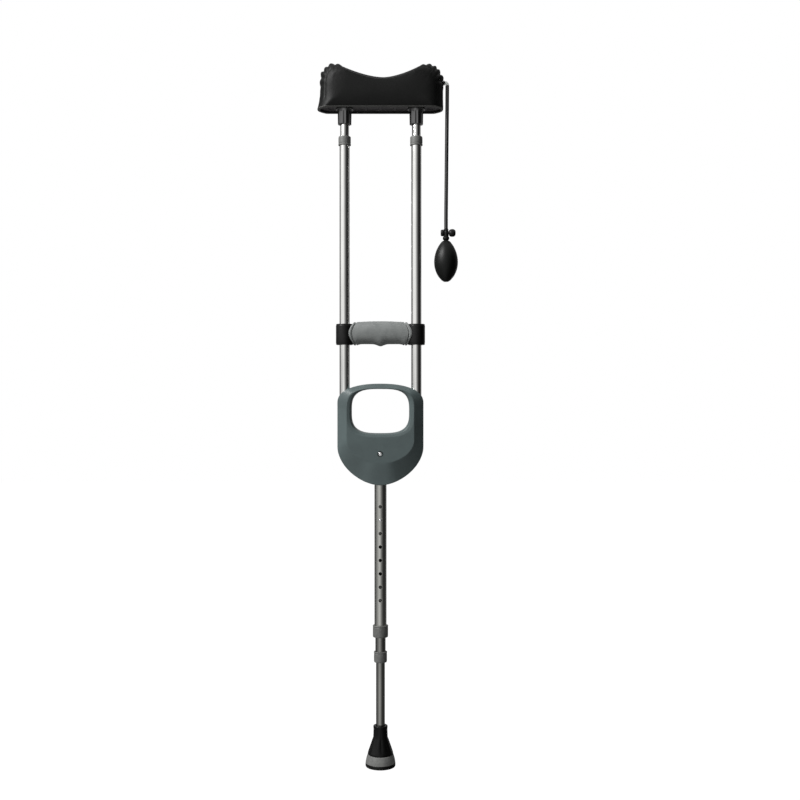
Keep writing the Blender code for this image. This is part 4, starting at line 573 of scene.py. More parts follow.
def wallLevel(tree, way, stops):
    # the studio's brightness in the direction of way, from a ramp round the horizon
    split = splitUp(tree, way)
    around = calculate(tree, "ARCTAN2", split["X"], calculate(tree, "MULTIPLY", split["Y"], -1.0))
    ramp = addNode(tree, "ShaderNodeValToRGB", {0: remap(tree, around, -math.pi, math.pi)})
    strongest = max(level for _, level in stops)
    marks = ramp.color_ramp.elements
    while len(marks) < len(stops):
        marks.new(0.5)
    for mark, (place, level) in zip(marks, stops):
        mark.position = place
        mark.color = (*evenly(level / strongest), 1.0)
    return calculate(tree, "MULTIPLY", ramp.outputs[0], strongest)


def anyOf(tree, rays, *kinds):
    seen = rays[kinds[0]]
    for kind in kinds[1:]:
        seen = calculate(tree, "MAXIMUM", seen, rays[kind])
    return seen


def makeFloor():
    bm = bmesh.new()
    bmesh.ops.create_grid(bm, x_segments=1, y_segments=1, size=room["floorHalf"])
    floor = newObject("floor", bm)
    material, tree, shader = newTree("floorPaper")
    plug(tree, shader, {"Base Color": room["floorColour"], "Roughness": 0.9, "Specular IOR Level": 0.0})
    rays = addNode(tree, "ShaderNodeLightPath").outputs
    seen = anyOf(tree, rays, "Is Camera Ray", "Is Glossy Ray", "Is Transmission Ray")
    inGloss = wallLevel(tree, objectPlace(tree), room["lowWalls"])
    strength = mixLevels(tree, rays["Is Glossy Ray"], room["glow"], inGloss)
    glow = addNode(tree, "ShaderNodeEmission", {"Color": 1.0, "Strength": strength}).outputs[0]
    share = remap(tree, seen, 0.0, 1.0, 0.0, room["seenShare"])
    both = addNode(tree, "ShaderNodeMixShader", {0: share, 1: shader.outputs[0], 2: glow})
    plug(tree, tree.nodes["Material Output"], {"Surface": both.outputs[0]})
    floor.data.materials.append(material)


def makeStudio():
    scene.world = bpy.data.worlds.new("studio")
    scene.world.use_nodes = True
    tree = scene.world.node_tree
    way = addNode(tree, "ShaderNodeTexCoord").outputs["Generated"]
    slope = splitUp(tree, way)["Z"]
    low, high = wallLevel(tree, way, room["lowWalls"]), wallLevel(tree, way, room["highWalls"])
    walls = mixLevels(tree, remap(tree, slope, *room["changes"]), low, high)
    inGloss = mixLevels(tree, remap(tree, slope, *room["opens"]), walls, room["ceiling"])
    rays = addNode(tree, "ShaderNodeLightPath").outputs
    seen = anyOf(tree, rays, "Is Camera Ray", "Is Transmission Ray")
    unseen = mixLevels(tree, rays["Is Glossy Ray"], room["ambient"], inGloss)
    strength = mixLevels(tree, seen, unseen, 1.0)
    plug(tree, tree.nodes["Background"], {"Color": 1.0, "Strength": strength})

    lampData = bpy.data.lights.new("keyLamp", "AREA")
    lampData.energy = room["lampWatts"]
    lampData.size = room["lampSize"]
    lamp = bpy.data.objects.new("keyLamp", lampData)
    lamp.location = room["lampPlace"]
    lamp.rotation_euler = (Vector(room["lampAim"]) - lamp.location).to_track_quat("-Z", "Y").to_euler()
    scene.collection.objects.link(lamp)


makeFloor()
makeStudio()
print("stage: room, camera and lamp set")


# Places read from the frame
def middle(node):
    low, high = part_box(node)
    return (low + high) / 2


def outerRadius(node):
    low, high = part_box(node)
    return (high.x - low.x) / 2


fit = 0.0003                                     # gap between neighbouring pieces
yokeZ = middle("housing_screw").z
gripZ = middle("grip_clamp_left").z
tubeX = middle("side_tube_right").x
sideRadius = outerRadius("side_tube_right")
sideLow, sideHigh = (place.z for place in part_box("side_tube_left"))
padTubeRadius = outerRadius("upper_tube_right")
legRadius = outerRadius("leg_upper_tube")
middleRadius = outerRadius("leg_middle_tube")
lowerRadius = outerRadius("leg_lower_tube")
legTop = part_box("leg_upper_tube")[1].z


# Hose: its route from the elbow's mouth, as the solids have it
hose = {
    "radius": 0.0035, "length": 0.268, "sideSteps": 6, "points": 72,
    "route": (
        (0.0000, 0.0000, 0.0000),
        (0.0000, 0.0000, -0.0100),
        (-0.0001, 0.0001, -0.0250),
        (-0.0002, 0.0003, -0.0420),
        (-0.0004, 0.0006, -0.0600),
        (-0.0006, 0.0009, -0.0790),
        (-0.0008, 0.0012, -0.0980),
        (-0.0010, 0.0014, -0.1180),
        (-0.0012, 0.0014, -0.1380),
        (-0.0014, 0.0013, -0.1580),
        (-0.0016, 0.0011, -0.1780),
        (-0.0018, 0.0008, -0.1980),
        (-0.0020, 0.0005, -0.2170),
        (-0.0022, 0.0002, -0.2350),
        (-0.0023, 0.0001, -0.2500),
        (-0.0023, 0.0000, -0.2600),
        (-0.0023, 0.0000, -0.2680),
    ),
}
elbow = {"radius": 0.0034, "barrelRadius": 0.0044, "barrel": 0.0025, "bend": 0.0036, "bore": 0.0015}
elbowLow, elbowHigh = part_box("hose_elbow")
hoseMouth = Vector((elbowHigh.x - elbow["radius"], 0, elbowLow.z - fit))


def alongRoute(route, share):
    position = share * (len(route) - 1)
    index = min(int(position), len(route) - 2)
    t = position - index
    p0, p1 = route[max(index - 1, 0)], route[index]
    p2, p3 = route[index + 1], route[min(index + 2, len(route) - 1)]
    return 0.5 * (
        2 * p1 + (p2 - p0) * t + (2 * p0 - 5 * p1 + 4 * p2 - p3) * t**2 + (3 * p1 - p0 - 3 * p2 + p3) * t**3
    )


def makeHose():
    route = [hoseMouth + Vector(point) for point in hose["route"]]
    curve = bpy.data.curves.new("airHose", "CURVE")
    curve.dimensions = "3D"
    curve.bevel_depth = hose["radius"]
    curve.bevel_resolution = hose["sideSteps"]
    curve.use_fill_caps = True
    spline = curve.splines.new("POLY")
    spline.points.add(hose["points"] - 1)
    for i, point in enumerate(spline.points):
        point.co = (*alongRoute(route, i / (hose["points"] - 1)), 1)
    curve.materials.append(hoseRubber)
    piece = bpy.data.objects.new("airHose", curve)
    scene.collection.objects.link(piece)
    standFor(piece, "air_hose")
    return piece, route[-1]


# Air line: nipple, clear elbow, release valve with its knob, squeeze bulb
airLine = {
    "nippleRadius": 0.0030, "nippleFlange": 0.0015, "nippleFlangeRadius": 0.0046, "nippleBore": 0.0012,
    "nippleStub": 0.0018,
    "valveBarrel": 0.0150, "valveRadius": 0.0048, "crossOverBottom": 0.0070, "crossRadius": 0.0036,
    "spigot": 0.0080, "spigotRadius": 0.0028,
    "capAt": 0.0042, "capThickness": 0.0055, "capRadius": 0.0062,
    "knobAt": 0.0052, "knobLength": 0.0130, "knobRadius": 0.0072, "knobRibs": 18, "knobRibDepth": 0.00030,
    "spindle": 0.0060, "spindleRadius": 0.0016,
}
bulb = {
    "radius": 0.0222, "upper": 0.0430, "lower": 0.0390, "cut": 0.915, "power": 0.71, "wall": 0.0025,
    "neck": 0.0072, "neckRadius": 0.0062, "steps": 26, "seam": 0.00016, "seamWidth": 0.0006,
    "inletRadius": 0.0035, "inletFlangeRadius": 0.0046, "inletFlange": 0.0010, "inletLength": 0.0045,
}
nippleLow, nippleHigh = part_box("air_nipple")
nippleZ = middle("air_nipple").z
nippleShoulder = nippleHigh.x - airLine["nippleStub"] - airLine["nippleFlange"]


def makeNipple():
    radius, flange, bore = airLine["nippleRadius"], airLine["nippleFlangeRadius"], airLine["nippleBore"]
    start, end, face = nippleLow.x, nippleHigh.x, nippleShoulder + airLine["nippleFlange"]
    barbs = []
    for i in range(3):
        x = start + 0.0008 + i * 0.0024
        barbs += [(radius * 0.80, x), (radius, x + 0.0016, 0.0001), (radius * 0.80, x + 0.0018)]
    profile = [
        (bore, start), (radius * 0.72, start, 0.0002), *barbs, (radius * 0.80, nippleShoulder),
        (flange, nippleShoulder, 0.0003), (flange, face, 0.0004), (radius, face), (radius * 0.9, end, 0.0004),
        (bore, end),
    ]
    return addPiece("air_nipple", lathe(profile, smooth["small"]), blackMoulding, alongX, (0, 0, nippleZ))


def makeElbow():
    bendX, bendZ = elbowLow.x + elbow["barrel"], nippleZ - elbow["bend"]

    def station(along, turn, radius):
        # along is the distance from the barrel's face, turn the share of the quarter bend
        lean = math.radians(90) * turn
        out = Vector((math.sin(lean), 0, math.cos(lean)))
        centre = Vector((elbowLow.x + along, 0, nippleZ))
        if turn:
            centre = Vector((bendX, 0, bendZ)) + out * elbow["bend"]
        return lambda angle: centre + radius * (math.cos(angle) * out + math.sin(angle) * alongDepth)

    wide, slim, bore = elbow["barrelRadius"], elbow["radius"], elbow["bore"]
    mouth = airLine["nippleRadius"] + fit
    bend = [i / 8 for i in range(1, 9)]
    rings = [(0, 0, wide - 0.0003), (0.0003, 0, wide), (0.0012, 0, wide), (0.0016, 0, slim + 0.0002),
             (0.0022, 0, slim - 0.0002), *[(0, turn, slim - 0.0003) for turn in bend[:-1]],
             (0, 0.94, slim), (0, 1.0, slim), *[(0, turn, bore) for turn in reversed(bend)],
             (0.0023, 0, bore), (0.0021, 0, mouth), (0, 0, mouth)]
    skin = stackRings([station(*ring) for ring in rings], smooth["small"])
    return addPiece("hose_elbow", skin, clearPlastic)


def makeValve(top):
    radius, height = airLine["valveRadius"], airLine["valveBarrel"]
    spigotRadius, spigot = airLine["spigotRadius"], airLine["spigot"]
    bottom = Vector((top.x, top.y, top.z - fit - height))
    here = bottom + Vector((0, 0, airLine["crossOverBottom"]))
    barrel = [
        (0, -spigot), (spigotRadius, -spigot, 0.0006), (spigotRadius, 0), (radius, 0, 0.0005),
        (radius, height * 0.62, 0.0004), (radius * 0.84, height * 0.66, 0.0003),
        (radius * 0.84, height * 0.74, 0.0003), (radius * 0.96, height * 0.78, 0.0004),
        (radius * 0.92, height * 0.94, 0.0006), (0.0034, height, 0.0004), (0, height),
    ]
    valve = addPiece("release_valve_body", lathe(barrel, smooth["small"]), blackMoulding, None, bottom)
    capAt, cap, radius = airLine["capAt"], airLine["capThickness"], airLine["capRadius"]
    knobAt, spindle, spindleRadius = airLine["knobAt"], airLine["spindle"], airLine["spindleRadius"]
    cross, reach = airLine["crossRadius"], knobAt + capAt - fit
    head = lathe([(0, 0), (cross, 0), (cross, reach), (0, reach)], smooth["small"])
    join(valve, placed(head, alongX, here - Vector((capAt, 0, 0))))
    disc = [
        (0, 0), (radius * 0.52, 0, 0.0004), (radius * 0.60, -0.0007, 0.0003),
        (radius * 0.74, -0.0007, 0.0004), (radius, 0.0006, 0.0012), (radius, cap - 0.0004, 0.0016),
        (radius * 0.66, cap, 0.0006), (0, cap),
    ]
    join(valve, placed(lathe(disc, 48), alongX, here - Vector((capAt + cap - 0.0005, 0, 0))))
    bore = here + Vector((knobAt - spindle - fit, 0, 0)), here + Vector((knobAt + 0.001, 0, 0))
    carve(valve, rods((*bore, spindleRadius + fit)))

    radius, length = airLine["knobRadius"], airLine["knobLength"]
    shape = [
        (0, -spindle), (spindleRadius, -spindle, 0.0003), (spindleRadius, 0), (radius * 0.62, 0, 0.0008),
        (radius, length * 0.24, 0.0026), (radius, length * 0.78, 0.0030), (radius * 0.50, length, 0.0024),
        (0, length - 0.0005),
    ]

    def ribbed(point):
        out = point.xy.length
        share = limited((out / radius - 0.86) / 0.1)
        wave = 0.5 + 0.5 * math.cos(airLine["knobRibs"] * math.atan2(point.y, point.x))
        return shrunk(point, airLine["knobRibDepth"] * share * wave / max(out, 1e-6))

    knob = lathe(shape, airLine["knobRibs"] * 6, ribbed)
    knob = addPiece("release_valve_knob", knob, blackMoulding, alongX, here + Vector((knobAt, 0, 0)))
    return valve, knob, bottom - Vector((0, 0, fit))


def makeBulb(top):
    centre = top.z - bulb["neck"] - bulb["upper"] * 0.94
    neckTop = top.z - centre
    neckLow = neckTop - bulb["neck"]
    wall, power, neck = bulb["wall"], bulb["power"], bulb["neckRadius"]

    def line(inward, high, low):
        points = []
        for i in range(bulb["steps"] + 1):
            share = low + (high - low) * (0.5 - 0.5 * math.cos(math.pi * i / bulb["steps"]))
            height = (bulb["upper"] if share > 0 else bulb["lower"]) - inward
            points.append(((bulb["radius"] - inward) * (1 - share**2) ** power, share * height))
        return points

    outer, inner = line(0.0, 0.955, -bulb["cut"]), line(wall, 0.90, -bulb["cut"] * 0.955)
    bore, inletBore = airLine["spigotRadius"] + fit, bulb["inletRadius"] + fit
    rim, floorZ = outer[0]
    profile = [
        (rim * 0.96, floorZ), (rim, floorZ + 0.0006), *outer[2:],
        (neck * 0.84, neckTop - bulb["neck"] * 0.80), (neck * 0.98, neckTop - bulb["neck"] * 0.58, 0.0006),
        (neck, neckTop - bulb["neck"] * 0.22, 0.0006), (neck * 0.86, neckTop, 0.0005),
        (bore, neckTop, 0.0003), (bore, inner[-1][1] + wall / 2), *reversed(inner),
        (inletBore, inner[0][1]), (inletBore, floorZ, 0.0003),
    ]

    def seamed(point):
        radius = point.xy.length
        if radius < bore + wall or abs(point.z) > neckLow or point.z < floorZ + 0.001:
            return point
        skin = (bulb["radius"] - wall) * (1 - min(1, abs(point.z) / bulb["upper"]) ** 2) ** power
        if radius <= skin:
            return point
        return point * (1 + bulb["seam"] * math.exp(-((point.y / bulb["seamWidth"]) ** 2)) / radius)

    piece = addPiece("squeeze_bulb", lathe(profile, 96, seamed), bulbRubber, None, (top.x, top.y, centre))
    flange, lip, inlet = bulb["inletFlange"], bulb["inletFlangeRadius"], bulb["inletRadius"]
    valve = [
        (0.0008, -flange, 0.0002), (0.0019, -flange, 0.0002), (0.0024, -flange * 0.5, 0.0002),
        (lip, -flange * 0.8, 0.0003), (lip, -fit), (inlet, -fit), (inlet, bulb["inletLength"], 0.0005),
        (0.0008, bulb["inletLength"]),
    ]
    return piece, addPiece("bulb_inlet_valve", lathe(valve, smooth["small"]), blackMoulding, None,
                           (top.x, top.y, centre + floorZ))


def makeAirLine():
    airHose, hoseEnd = makeHose()
    fittings = [makeNipple(), makeElbow()]
    valve, knob, bulbTop = makeValve(hoseEnd)
    fittings += [valve, knob, *makeBulb(bulbTop)]


makeAirLine()
print("stage: air line made")


# Tubes: seven drawn tubes, each with its row of punched holes
tubes = {
    "endRound": 0.0003, "holeRound": 0.00025,
    "wallSide": 0.0010, "wallPad": 0.0010,
    "wallLegTop": 0.0014, "wallLegMiddle": 0.0010, "wallLegLow": 0.0012,
    "buttonHole": 0.0033, "gripHole": 0.0030, "gripHolePitch": 0.04125, "gripHoles": 8,
    "padHoles": 5, "holePitch": 0.0250, "legHoles": 8, "legHolesAbove": 1, "lockHoles": 5, "boltHole": 0.0029,
    "drainHole": 0.0022, "drainBelowTop": (0.0470, 0.1840), "pegHole": 0.0034, "pegOverTubeEnd": 0.0580,
}


def makeTube(node, finish, wall, holes):
    # holes are (height, outward direction, radius)
    low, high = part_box(node)
    radius, length, edge = outerRadius(node), high.z - low.z, tubes["endRound"]
    bore = radius - wall
    profile = [(radius, 0, edge), (radius, length, edge), (bore, length, edge), (bore, 0, edge)]
    at = Vector((middle(node).x, 0, low.z))
    bm = placed(lathe(profile), None, at)
    for height, _, hole in holes:
        for z in (height - hole * 1.4, height + hole * 1.4):
            bmesh.ops.bisect_plane(bm, geom=[*bm.verts, *bm.edges, *bm.faces], plane_co=(0, 0, z),
                                   plane_no=(0, 0, 1))
    piece = addPiece(node, bm, finish)
    cutters = []
    for height, way, hole in holes:
        start = Vector((at.x, 0, height))
        cutters.append((start, start + Vector(way) * (radius + 0.001), hole, 28))
    carve(piece, rods(*cutters), solver="EXACT", bevel=tubes["holeRound"])


def holeRow(start, pitch, count, way, radius):
    return [(start + i * pitch, way, radius) for i in range(count)]


def makeTubes():
    front, back = (0, -1, 0), (0, 1, 0)
    hole, pitch = tubes["buttonHole"], tubes["holePitch"]
    legButtonZ, lowButtonZ = buttonHeight("leg_snap_button"), buttonHeight("lower_snap_button")
    padButtonZ = buttonHeight("pad_snap_button_right")
    row = holeRow(legButtonZ + tubes["legHolesAbove"] * pitch, -pitch, tubes["legHoles"], front, hole)
    bolt = [(yokeZ, way, tubes["boltHole"]) for way in (front, back)]
    makeTube("leg_upper_tube", legShine, tubes["wallLegTop"], row + bolt)
    locks = holeRow(lowButtonZ, pitch, tubes["lockHoles"], front, hole)
    makeTube("leg_middle_tube", legDullMiddle, tubes["wallLegMiddle"], [*locks, (legButtonZ, front, hole)])
    makeTube("leg_lower_tube", legDullLower, tubes["wallLegLow"], [(lowButtonZ, front, hole)])
    for side, label in ends:
        holes = holeRow(gripZ, tubes["gripHolePitch"], tubes["gripHoles"], (-side, 0, 0), tubes["gripHole"])
        holes += holeRow(padButtonZ, pitch, tubes["padHoles"], back, hole)
        holes.append((sideLow + tubes["pegOverTubeEnd"], front, tubes["pegHole"]))
        if side > 0:
            for below in tubes["drainBelowTop"]:
                holes.append((sideHigh - below, (side, 0, 0), tubes["drainHole"]))
        makeTube(f"side_tube_{label}", tubeShine, tubes["wallSide"], holes)
        makeTube(f"upper_tube_{label}", tubeShine, tubes["wallPad"], [(padButtonZ, back, hole)])


# Snap buttons: one bent strip of spring steel with its stud
button = {
    "radius": 0.0029, "dome": 0.0010, "domeRise": 1.15, "strip": 0.0006, "width": 0.0050, "tail": 0.0050,
    "leg": 0.0080, "bend": 0.0300, "bendSteps": 11, "domeSteps": 7,
}


def buttonHeight(node):
    # the strip runs from its tail below the stud to its bend above it
    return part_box(node)[0].z + button["tail"]


def arc(x, y, across, up, angles):
    # points of an ellipse round (x, y) at angles in degrees
    return [(x + across * math.cos(a), y + up * math.sin(a)) for a in map(math.radians, angles)]


def makeButton(node, finish):
    low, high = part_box(node)
    side = 1 if abs(high.y) > abs(low.y) else -1
    leg, tip = sorted((abs(high.y), abs(low.y)))
    centre = Vector((middle(node).x, 0, buttonHeight(node)))
    strip, tail, top = button["strip"], -button["tail"], button["leg"]
    leg -= strip / 2
    turnRadius = 2 * strip
    bend = arc(0, button["bend"] - strip / 2 - turnRadius, turnRadius, turnRadius,
               [10 + 16 * i for i in range(button["bendSteps"])])
    line = [(leg, tail), (leg, top), *bend, (-leg, top), (-leg, tail)]
    bm = bmesh.new()
    _, edges = addLine(bm, [(0, side * y, z) for y, z in line])
    grown = bmesh.ops.extrude_edge_only(bm, edges=edges)["geom"]
    moved = [item for item in grown if isinstance(item, bmesh.types.BMVert)]
    bmesh.ops.translate(bm, vec=(button["width"], 0, 0), verts=moved)
    bmesh.ops.recalc_face_normals(bm, faces=bm.faces)
    piece = addPiece(node, bm, finish, None, centre - Vector((button["width"] / 2, 0, 0)))
    change(piece, "SOLIDIFY", thickness=strip, offset=0.0)
    radius, dome = button["radius"], button["dome"] * button["domeRise"]
    cap = arc(0, tip - dome, radius, dome, [90 * i / button["domeSteps"] for i in range(button["domeSteps"])])
    stud = lathe([(0, leg), (radius, leg), *cap, (0, tip)], smooth["small"])
    join(piece, placed(stud, alongY if side > 0 else alongMinusY, centre), "EXACT")
    # the strip is sprung: its far leg rests on the tube while the stud is pressed in; here it is only taken
    # off its body
    springBetween(piece)


def makeButtons():
    makeButton("leg_snap_button", brightSteel)
    makeButton("lower_snap_button", dullSteel)
    for _, label in ends:
        makeButton(f"pad_snap_button_{label}", brightSteel)


# Collars: moulded guide rings on the tube ends
collar = {"lip": 0.0028, "edge": 0.0012, "beadHeight": 0.0030, "groove": 0.0004, "flare": 0.0002}


def makeCollar(node, tubeRadius, innerRadius, lipUp=False):
    low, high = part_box(node)
    outside, height = outerRadius(node), high.z - low.z
    edge, lip, bead = collar["edge"], collar["lip"], height - collar["beadHeight"]
    body = outside - collar["flare"]
    profile = [
        (outside - edge * 0.5, 0, edge * 0.6), (body, edge * 2, 0.0009), (body, bead - 0.0012, 0.0004),
        (body - collar["groove"], bead - 0.0006, 0.0003), (body - collar["groove"], bead, 0.0003),
        (outside, bead + 0.0006, 0.0005), (outside, height, edge * 0.7), (tubeRadius + fit, height, 0.0005),
        (tubeRadius + fit, lip), (innerRadius + fit, lip), (innerRadius + fit, 0, 0.0004),
    ]
    turn = Matrix.Rotation(math.pi, 4, "X") if lipUp else None
    addPiece(node, lathe(profile), collarGrey, turn, (middle(node).x, 0, high.z if lipUp else low.z))


def makeCollars():
    makeCollar("leg_upper_collar", legRadius, middleRadius)
    makeCollar("leg_lower_collar", middleRadius, lowerRadius)
    for _, label in ends:
        makeCollar(f"side_collar_{label}", sideRadius, padTubeRadius, True)


makeTubes()
makeButtons()
makeCollars()
print("stage: tubes, buttons and collars made")


# Foot: fluted boot, grey band, black tread with two round grooves
foot = {
    "flutes": 10, "fluteDepth": 0.00112, "fluteEnd": 1.1, "fluteTurn": 12, "skirtRadius": 0.0237,
    "neckRadius": 0.0134, "skirtOverBand": 0.0030, "flare": 0.0287, "flareSteps": 10, "flareFoot": 0.0002,
    "treadGrooves": ((0.0095, 0.0125), (0.0180, 0.0210)), "grooveDepth": 0.0015, "bandTopRadius": 0.0243,
    "bandThickness": 0.0052,
}


def makeFoot():
    sole, tread, depth = outerRadius("foot_tread"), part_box("foot_tread")[1].z, foot["grooveDepth"]
    grooves = []
    for inner, outer in foot["treadGrooves"]:
        grooves += [(inner, 0, 0.0003), (inner, depth, 0.0003), (outer, depth, 0.0003), (outer, 0, 0.0003)]
    addPiece("foot_tread", lathe([
        (0, 0), *grooves, (sole - 0.0004, 0, 0.0012), (sole, tread * 0.45, 0.0012),
        (sole - 0.0002, tread, 0.0008), (0, tread),
    ]), bootRubber)

    low, high = (place.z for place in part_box("foot_band"))
    top, core = foot["bandTopRadius"], foot["bandTopRadius"] - foot["bandThickness"]
    addPiece("foot_band", lathe([
        (sole - 0.0002, low, 0.0007), ((sole + top) / 2 + 0.0004, (low + high) / 2, 0.0030),
        (top, high, 0.0012), (core, high), (core, low),
    ]), bandGrey)

    skirtLow, bootTop, washerLow = high + fit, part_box("foot_boot")[1].z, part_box("foot_washer")[0].z - fit
    flareLow = skirtLow + foot["skirtOverBand"]
    skirt, neck, bore = foot["skirtRadius"], foot["neckRadius"], lowerRadius + fit
    waist = neck + foot["flareFoot"]
    flare = []
    for share in [i / foot["flareSteps"] for i in range(1, foot["flareSteps"] + 1)]:
        flare.append((waist + (skirt - waist) * (1 - share) ** 0.95, flareLow + foot["flare"] * share))
    boot = [
        (0, low), (core - fit, low, 0.0005), (core - fit, skirtLow), (skirt, skirtLow, 0.0006),
        (skirt, flareLow, 0.0008), *flare, (neck - 0.0004, bootTop - 0.0052, 0.0006),
        (neck, bootTop - 0.0040, 0.0006), (neck, bootTop, 0.0012), (bore, bootTop, 0.0008), (bore, washerLow),
        (0, washerLow),
    ]

    def fluted(point):
        share = (point.z - flareLow) / foot["flare"]
        radius = point.xy.length
        if not 0.0 < share < foot["fluteEnd"] or radius < bore + 0.001:
            return point
        strength = math.sin(math.pi * min(1.0, share / foot["fluteEnd"])) ** 0.7
        turn = math.atan2(point.y, point.x) + math.radians(foot["fluteTurn"])
        wave = abs(math.sin(foot["flutes"] / 2 * turn)) ** 0.75
        return shrunk(point, foot["fluteDepth"] * strength * (1 - wave) / radius)

    addPiece("foot_boot", lathe(boot, 160, fluted), bootRubber)


makeFoot()
print("stage: foot made")


# Grip: sleeve between two clamps, with a latch at each end whose peg enters the side tube
grip = {
    "clampWall": 0.0064, "clampRound": 0.0016, "clampStep": 0.0003, "clampStepAt": 0.0034,
    "top": 0.0248, "crown": 0.0035, "bottom": -0.0182, "halfDepth": 0.0165, "endHalfDepth": 0.0148,
    "ridge": 0.0040, "ridgeWidth": 0.0081, "endRidge": 0.0026, "endRidgeAt": 0.0466, "endRidgeWidth": 0.0060,
    "fullness": 0.93, "endGap": 0.0004, "endRound": 0.0014, "groove": (0.0039, 0.0063), "grooveDepth": 0.0019,
    "boreHalfHeight": 0.0153, "boreHalfDepth": 0.0113, "facets": 84, "sections": 20,
    "slot": (0.0390, 0.0444), "slotHalfHeight": 0.0054,
    "armEnd": 0.0220, "armHalfDepth": 0.0070, "armHalfHeight": 0.0105, "armWall": 0.0030, "pegHole": 0.0030,
    "plate": (0.0420, 0.0440), "plateHalfHeight": 0.0050, "plateFront": -0.0036, "tabEnd": 0.0195,
    "pegRadius": 0.0026, "pegTip": 0.0076, "leaf": 0.0009, "leafWave": 0.0055, "leafHalfWidth": 0.0030,
    "leafEnd": 0.0123, "leafSteps": 32, "notches": (-0.0028, 0.0, 0.0028),
}
clampRadius = sideRadius + fit + grip["clampWall"]
copeRadius = clampRadius + grip["endGap"]
sleeveHalf = tubeX - copeRadius


def bulge(x, place, width, power=2):
    return math.exp(-(((x - place) / width) ** power))


def signedPower(value, power):
    return math.copysign(abs(value) ** power, value)


def gripSection(x):
    share = abs(x) / tubeX
    ridge = grip["ridge"] * bulge(x, 0, grip["ridgeWidth"])
    ridge += grip["endRidge"] * bulge(abs(x), grip["endRidgeAt"], grip["endRidgeWidth"])
    halfDepth = grip["halfDepth"] + (grip["endHalfDepth"] - grip["halfDepth"]) * share**2
    return grip["top"] - grip["crown"] * share**2, grip["bottom"] - ridge, halfDepth


def gripStation(side, inset, sink=0.0):
    # a ring of the sleeve's skin, as far from the coped end as inset says
    share = (1 - inset / sleeveHalf) ** 1.5 if inset < sleeveHalf else 0.0

    def point(angle):
        x = sleeveHalf - inset
        for _ in range(3):
            top, bottom, halfDepth = gripSection(x)
            y = (halfDepth - sink) * signedPower(math.cos(angle), grip["fullness"])
            x = sleeveHalf - inset + (copeRadius - math.sqrt(copeRadius**2 - y**2)) * share
        height = ((top - bottom) / 2 - sink) * signedPower(math.sin(angle), grip["fullness"])
        return Vector((side * x, y, gripZ + (top + bottom) / 2 + height))

    return point


def boreStation(side, share):
    # from the sleeve's end edge, share 0, over its coped end to the bore, share 1
    outer = gripStation(side, 0, grip["endRound"])

    def point(angle):
        edge = outer(angle)
        y = edge.y + (grip["boreHalfDepth"] * math.cos(angle) - edge.y) * share
        z = edge.z + (gripZ + grip["boreHalfHeight"] * math.sin(angle) - edge.z) * share
        return Vector((side * (tubeX - math.sqrt(copeRadius**2 - y**2)), y, z))

    return point


def sideBlock(side, first, last, low, high):
    # a box between two distances from the middle, on one side of it
    xs = sorted((side * first, side * last))
    return (xs[0], low[0], gripZ + low[1]), (xs[1], high[0], gripZ + high[1])


def makeSleeve():
    first, last = grip["groove"]
    depth, edge, start = grip["grooveDepth"], 0.0004, last + 0.0012
    line = [(0, grip["endRound"]), (0.0002, 0.0008), (0.0006, 0.0003), (0.0014, 0), (0.0032, 0),
            (first - edge, 0), (first, depth * 0.2), (first + 0.0002, depth * 0.85), (first + 0.0005, depth),
            (last - 0.0005, depth), (last - 0.0002, depth * 0.85), (last, depth * 0.2), (last + edge, 0)]
    line += [(start + (sleeveHalf - start) * i / grip["sections"], 0) for i in range(grip["sections"])]
    faces = (0.25, 0.5, 0.75, 1.0)
    stations = [gripStation(-1, *place) for place in line] + [gripStation(0, sleeveHalf)]
    stations += [gripStation(1, *place) for place in reversed(line)]
    stations += [boreStation(1, share) for share in faces]
    stations += [boreStation(-1, share) for share in reversed(faces)]
    sleeve = addPiece("handgrip", stackRings(stations, grip["facets"]), gripSleeve, name="handgripSleeve")
    half = grip["slotHalfHeight"]
    carve(sleeve, blocks(*[sideBlock(side, *grip["slot"], (0, -half), (0.03, half)) for side, _ in ends]))


def makeClamp(side, label):
    node = f"grip_clamp_{label}"
    low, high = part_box(node)
    height, bore, edge = high.z - low.z, sideRadius + fit, grip["clampRound"]
    step, stepAt = grip["clampStep"], grip["clampStepAt"]
    clamp = addPiece(node, lathe([
        (bore, 0, 0.0005), (clampRadius - step, 0, edge), (clampRadius - step, stepAt, 0.0003),
        (clampRadius, stepAt + step, 0.0004), (clampRadius, height - stepAt - step, 0.0004),
        (clampRadius - step, height - stepAt, 0.0003), (clampRadius - step, height, edge),
        (bore, height, 0.0005),
    ], 96), blackMoulding, None, (side * tubeX, 0, low.z))
    depth, half, wall = grip["armHalfDepth"], grip["armHalfHeight"], grip["armWall"]
    start, slotHalf = grip["armEnd"], grip["slotHalfHeight"]
    rootEnd, pocketEnd = tubeX - clampRadius + grip["clampWall"] / 2, grip["slot"][1] + 0.001
    join(clamp, blocks(sideBlock(side, start, rootEnd, (-depth, -half), (depth, half))))
    carve(clamp, blocks(sideBlock(side, start - 0.001, pocketEnd, (wall - depth, wall - half),
                                  (depth - wall, half - wall))))
    carve(clamp, rods(((side * (pocketEnd - 0.001), 0, gripZ), (side * tubeX, 0, gripZ), grip["pegHole"])))
    carve(clamp, blocks(sideBlock(side, *grip["slot"], (0, -slotHalf), (0.02, slotHalf))))


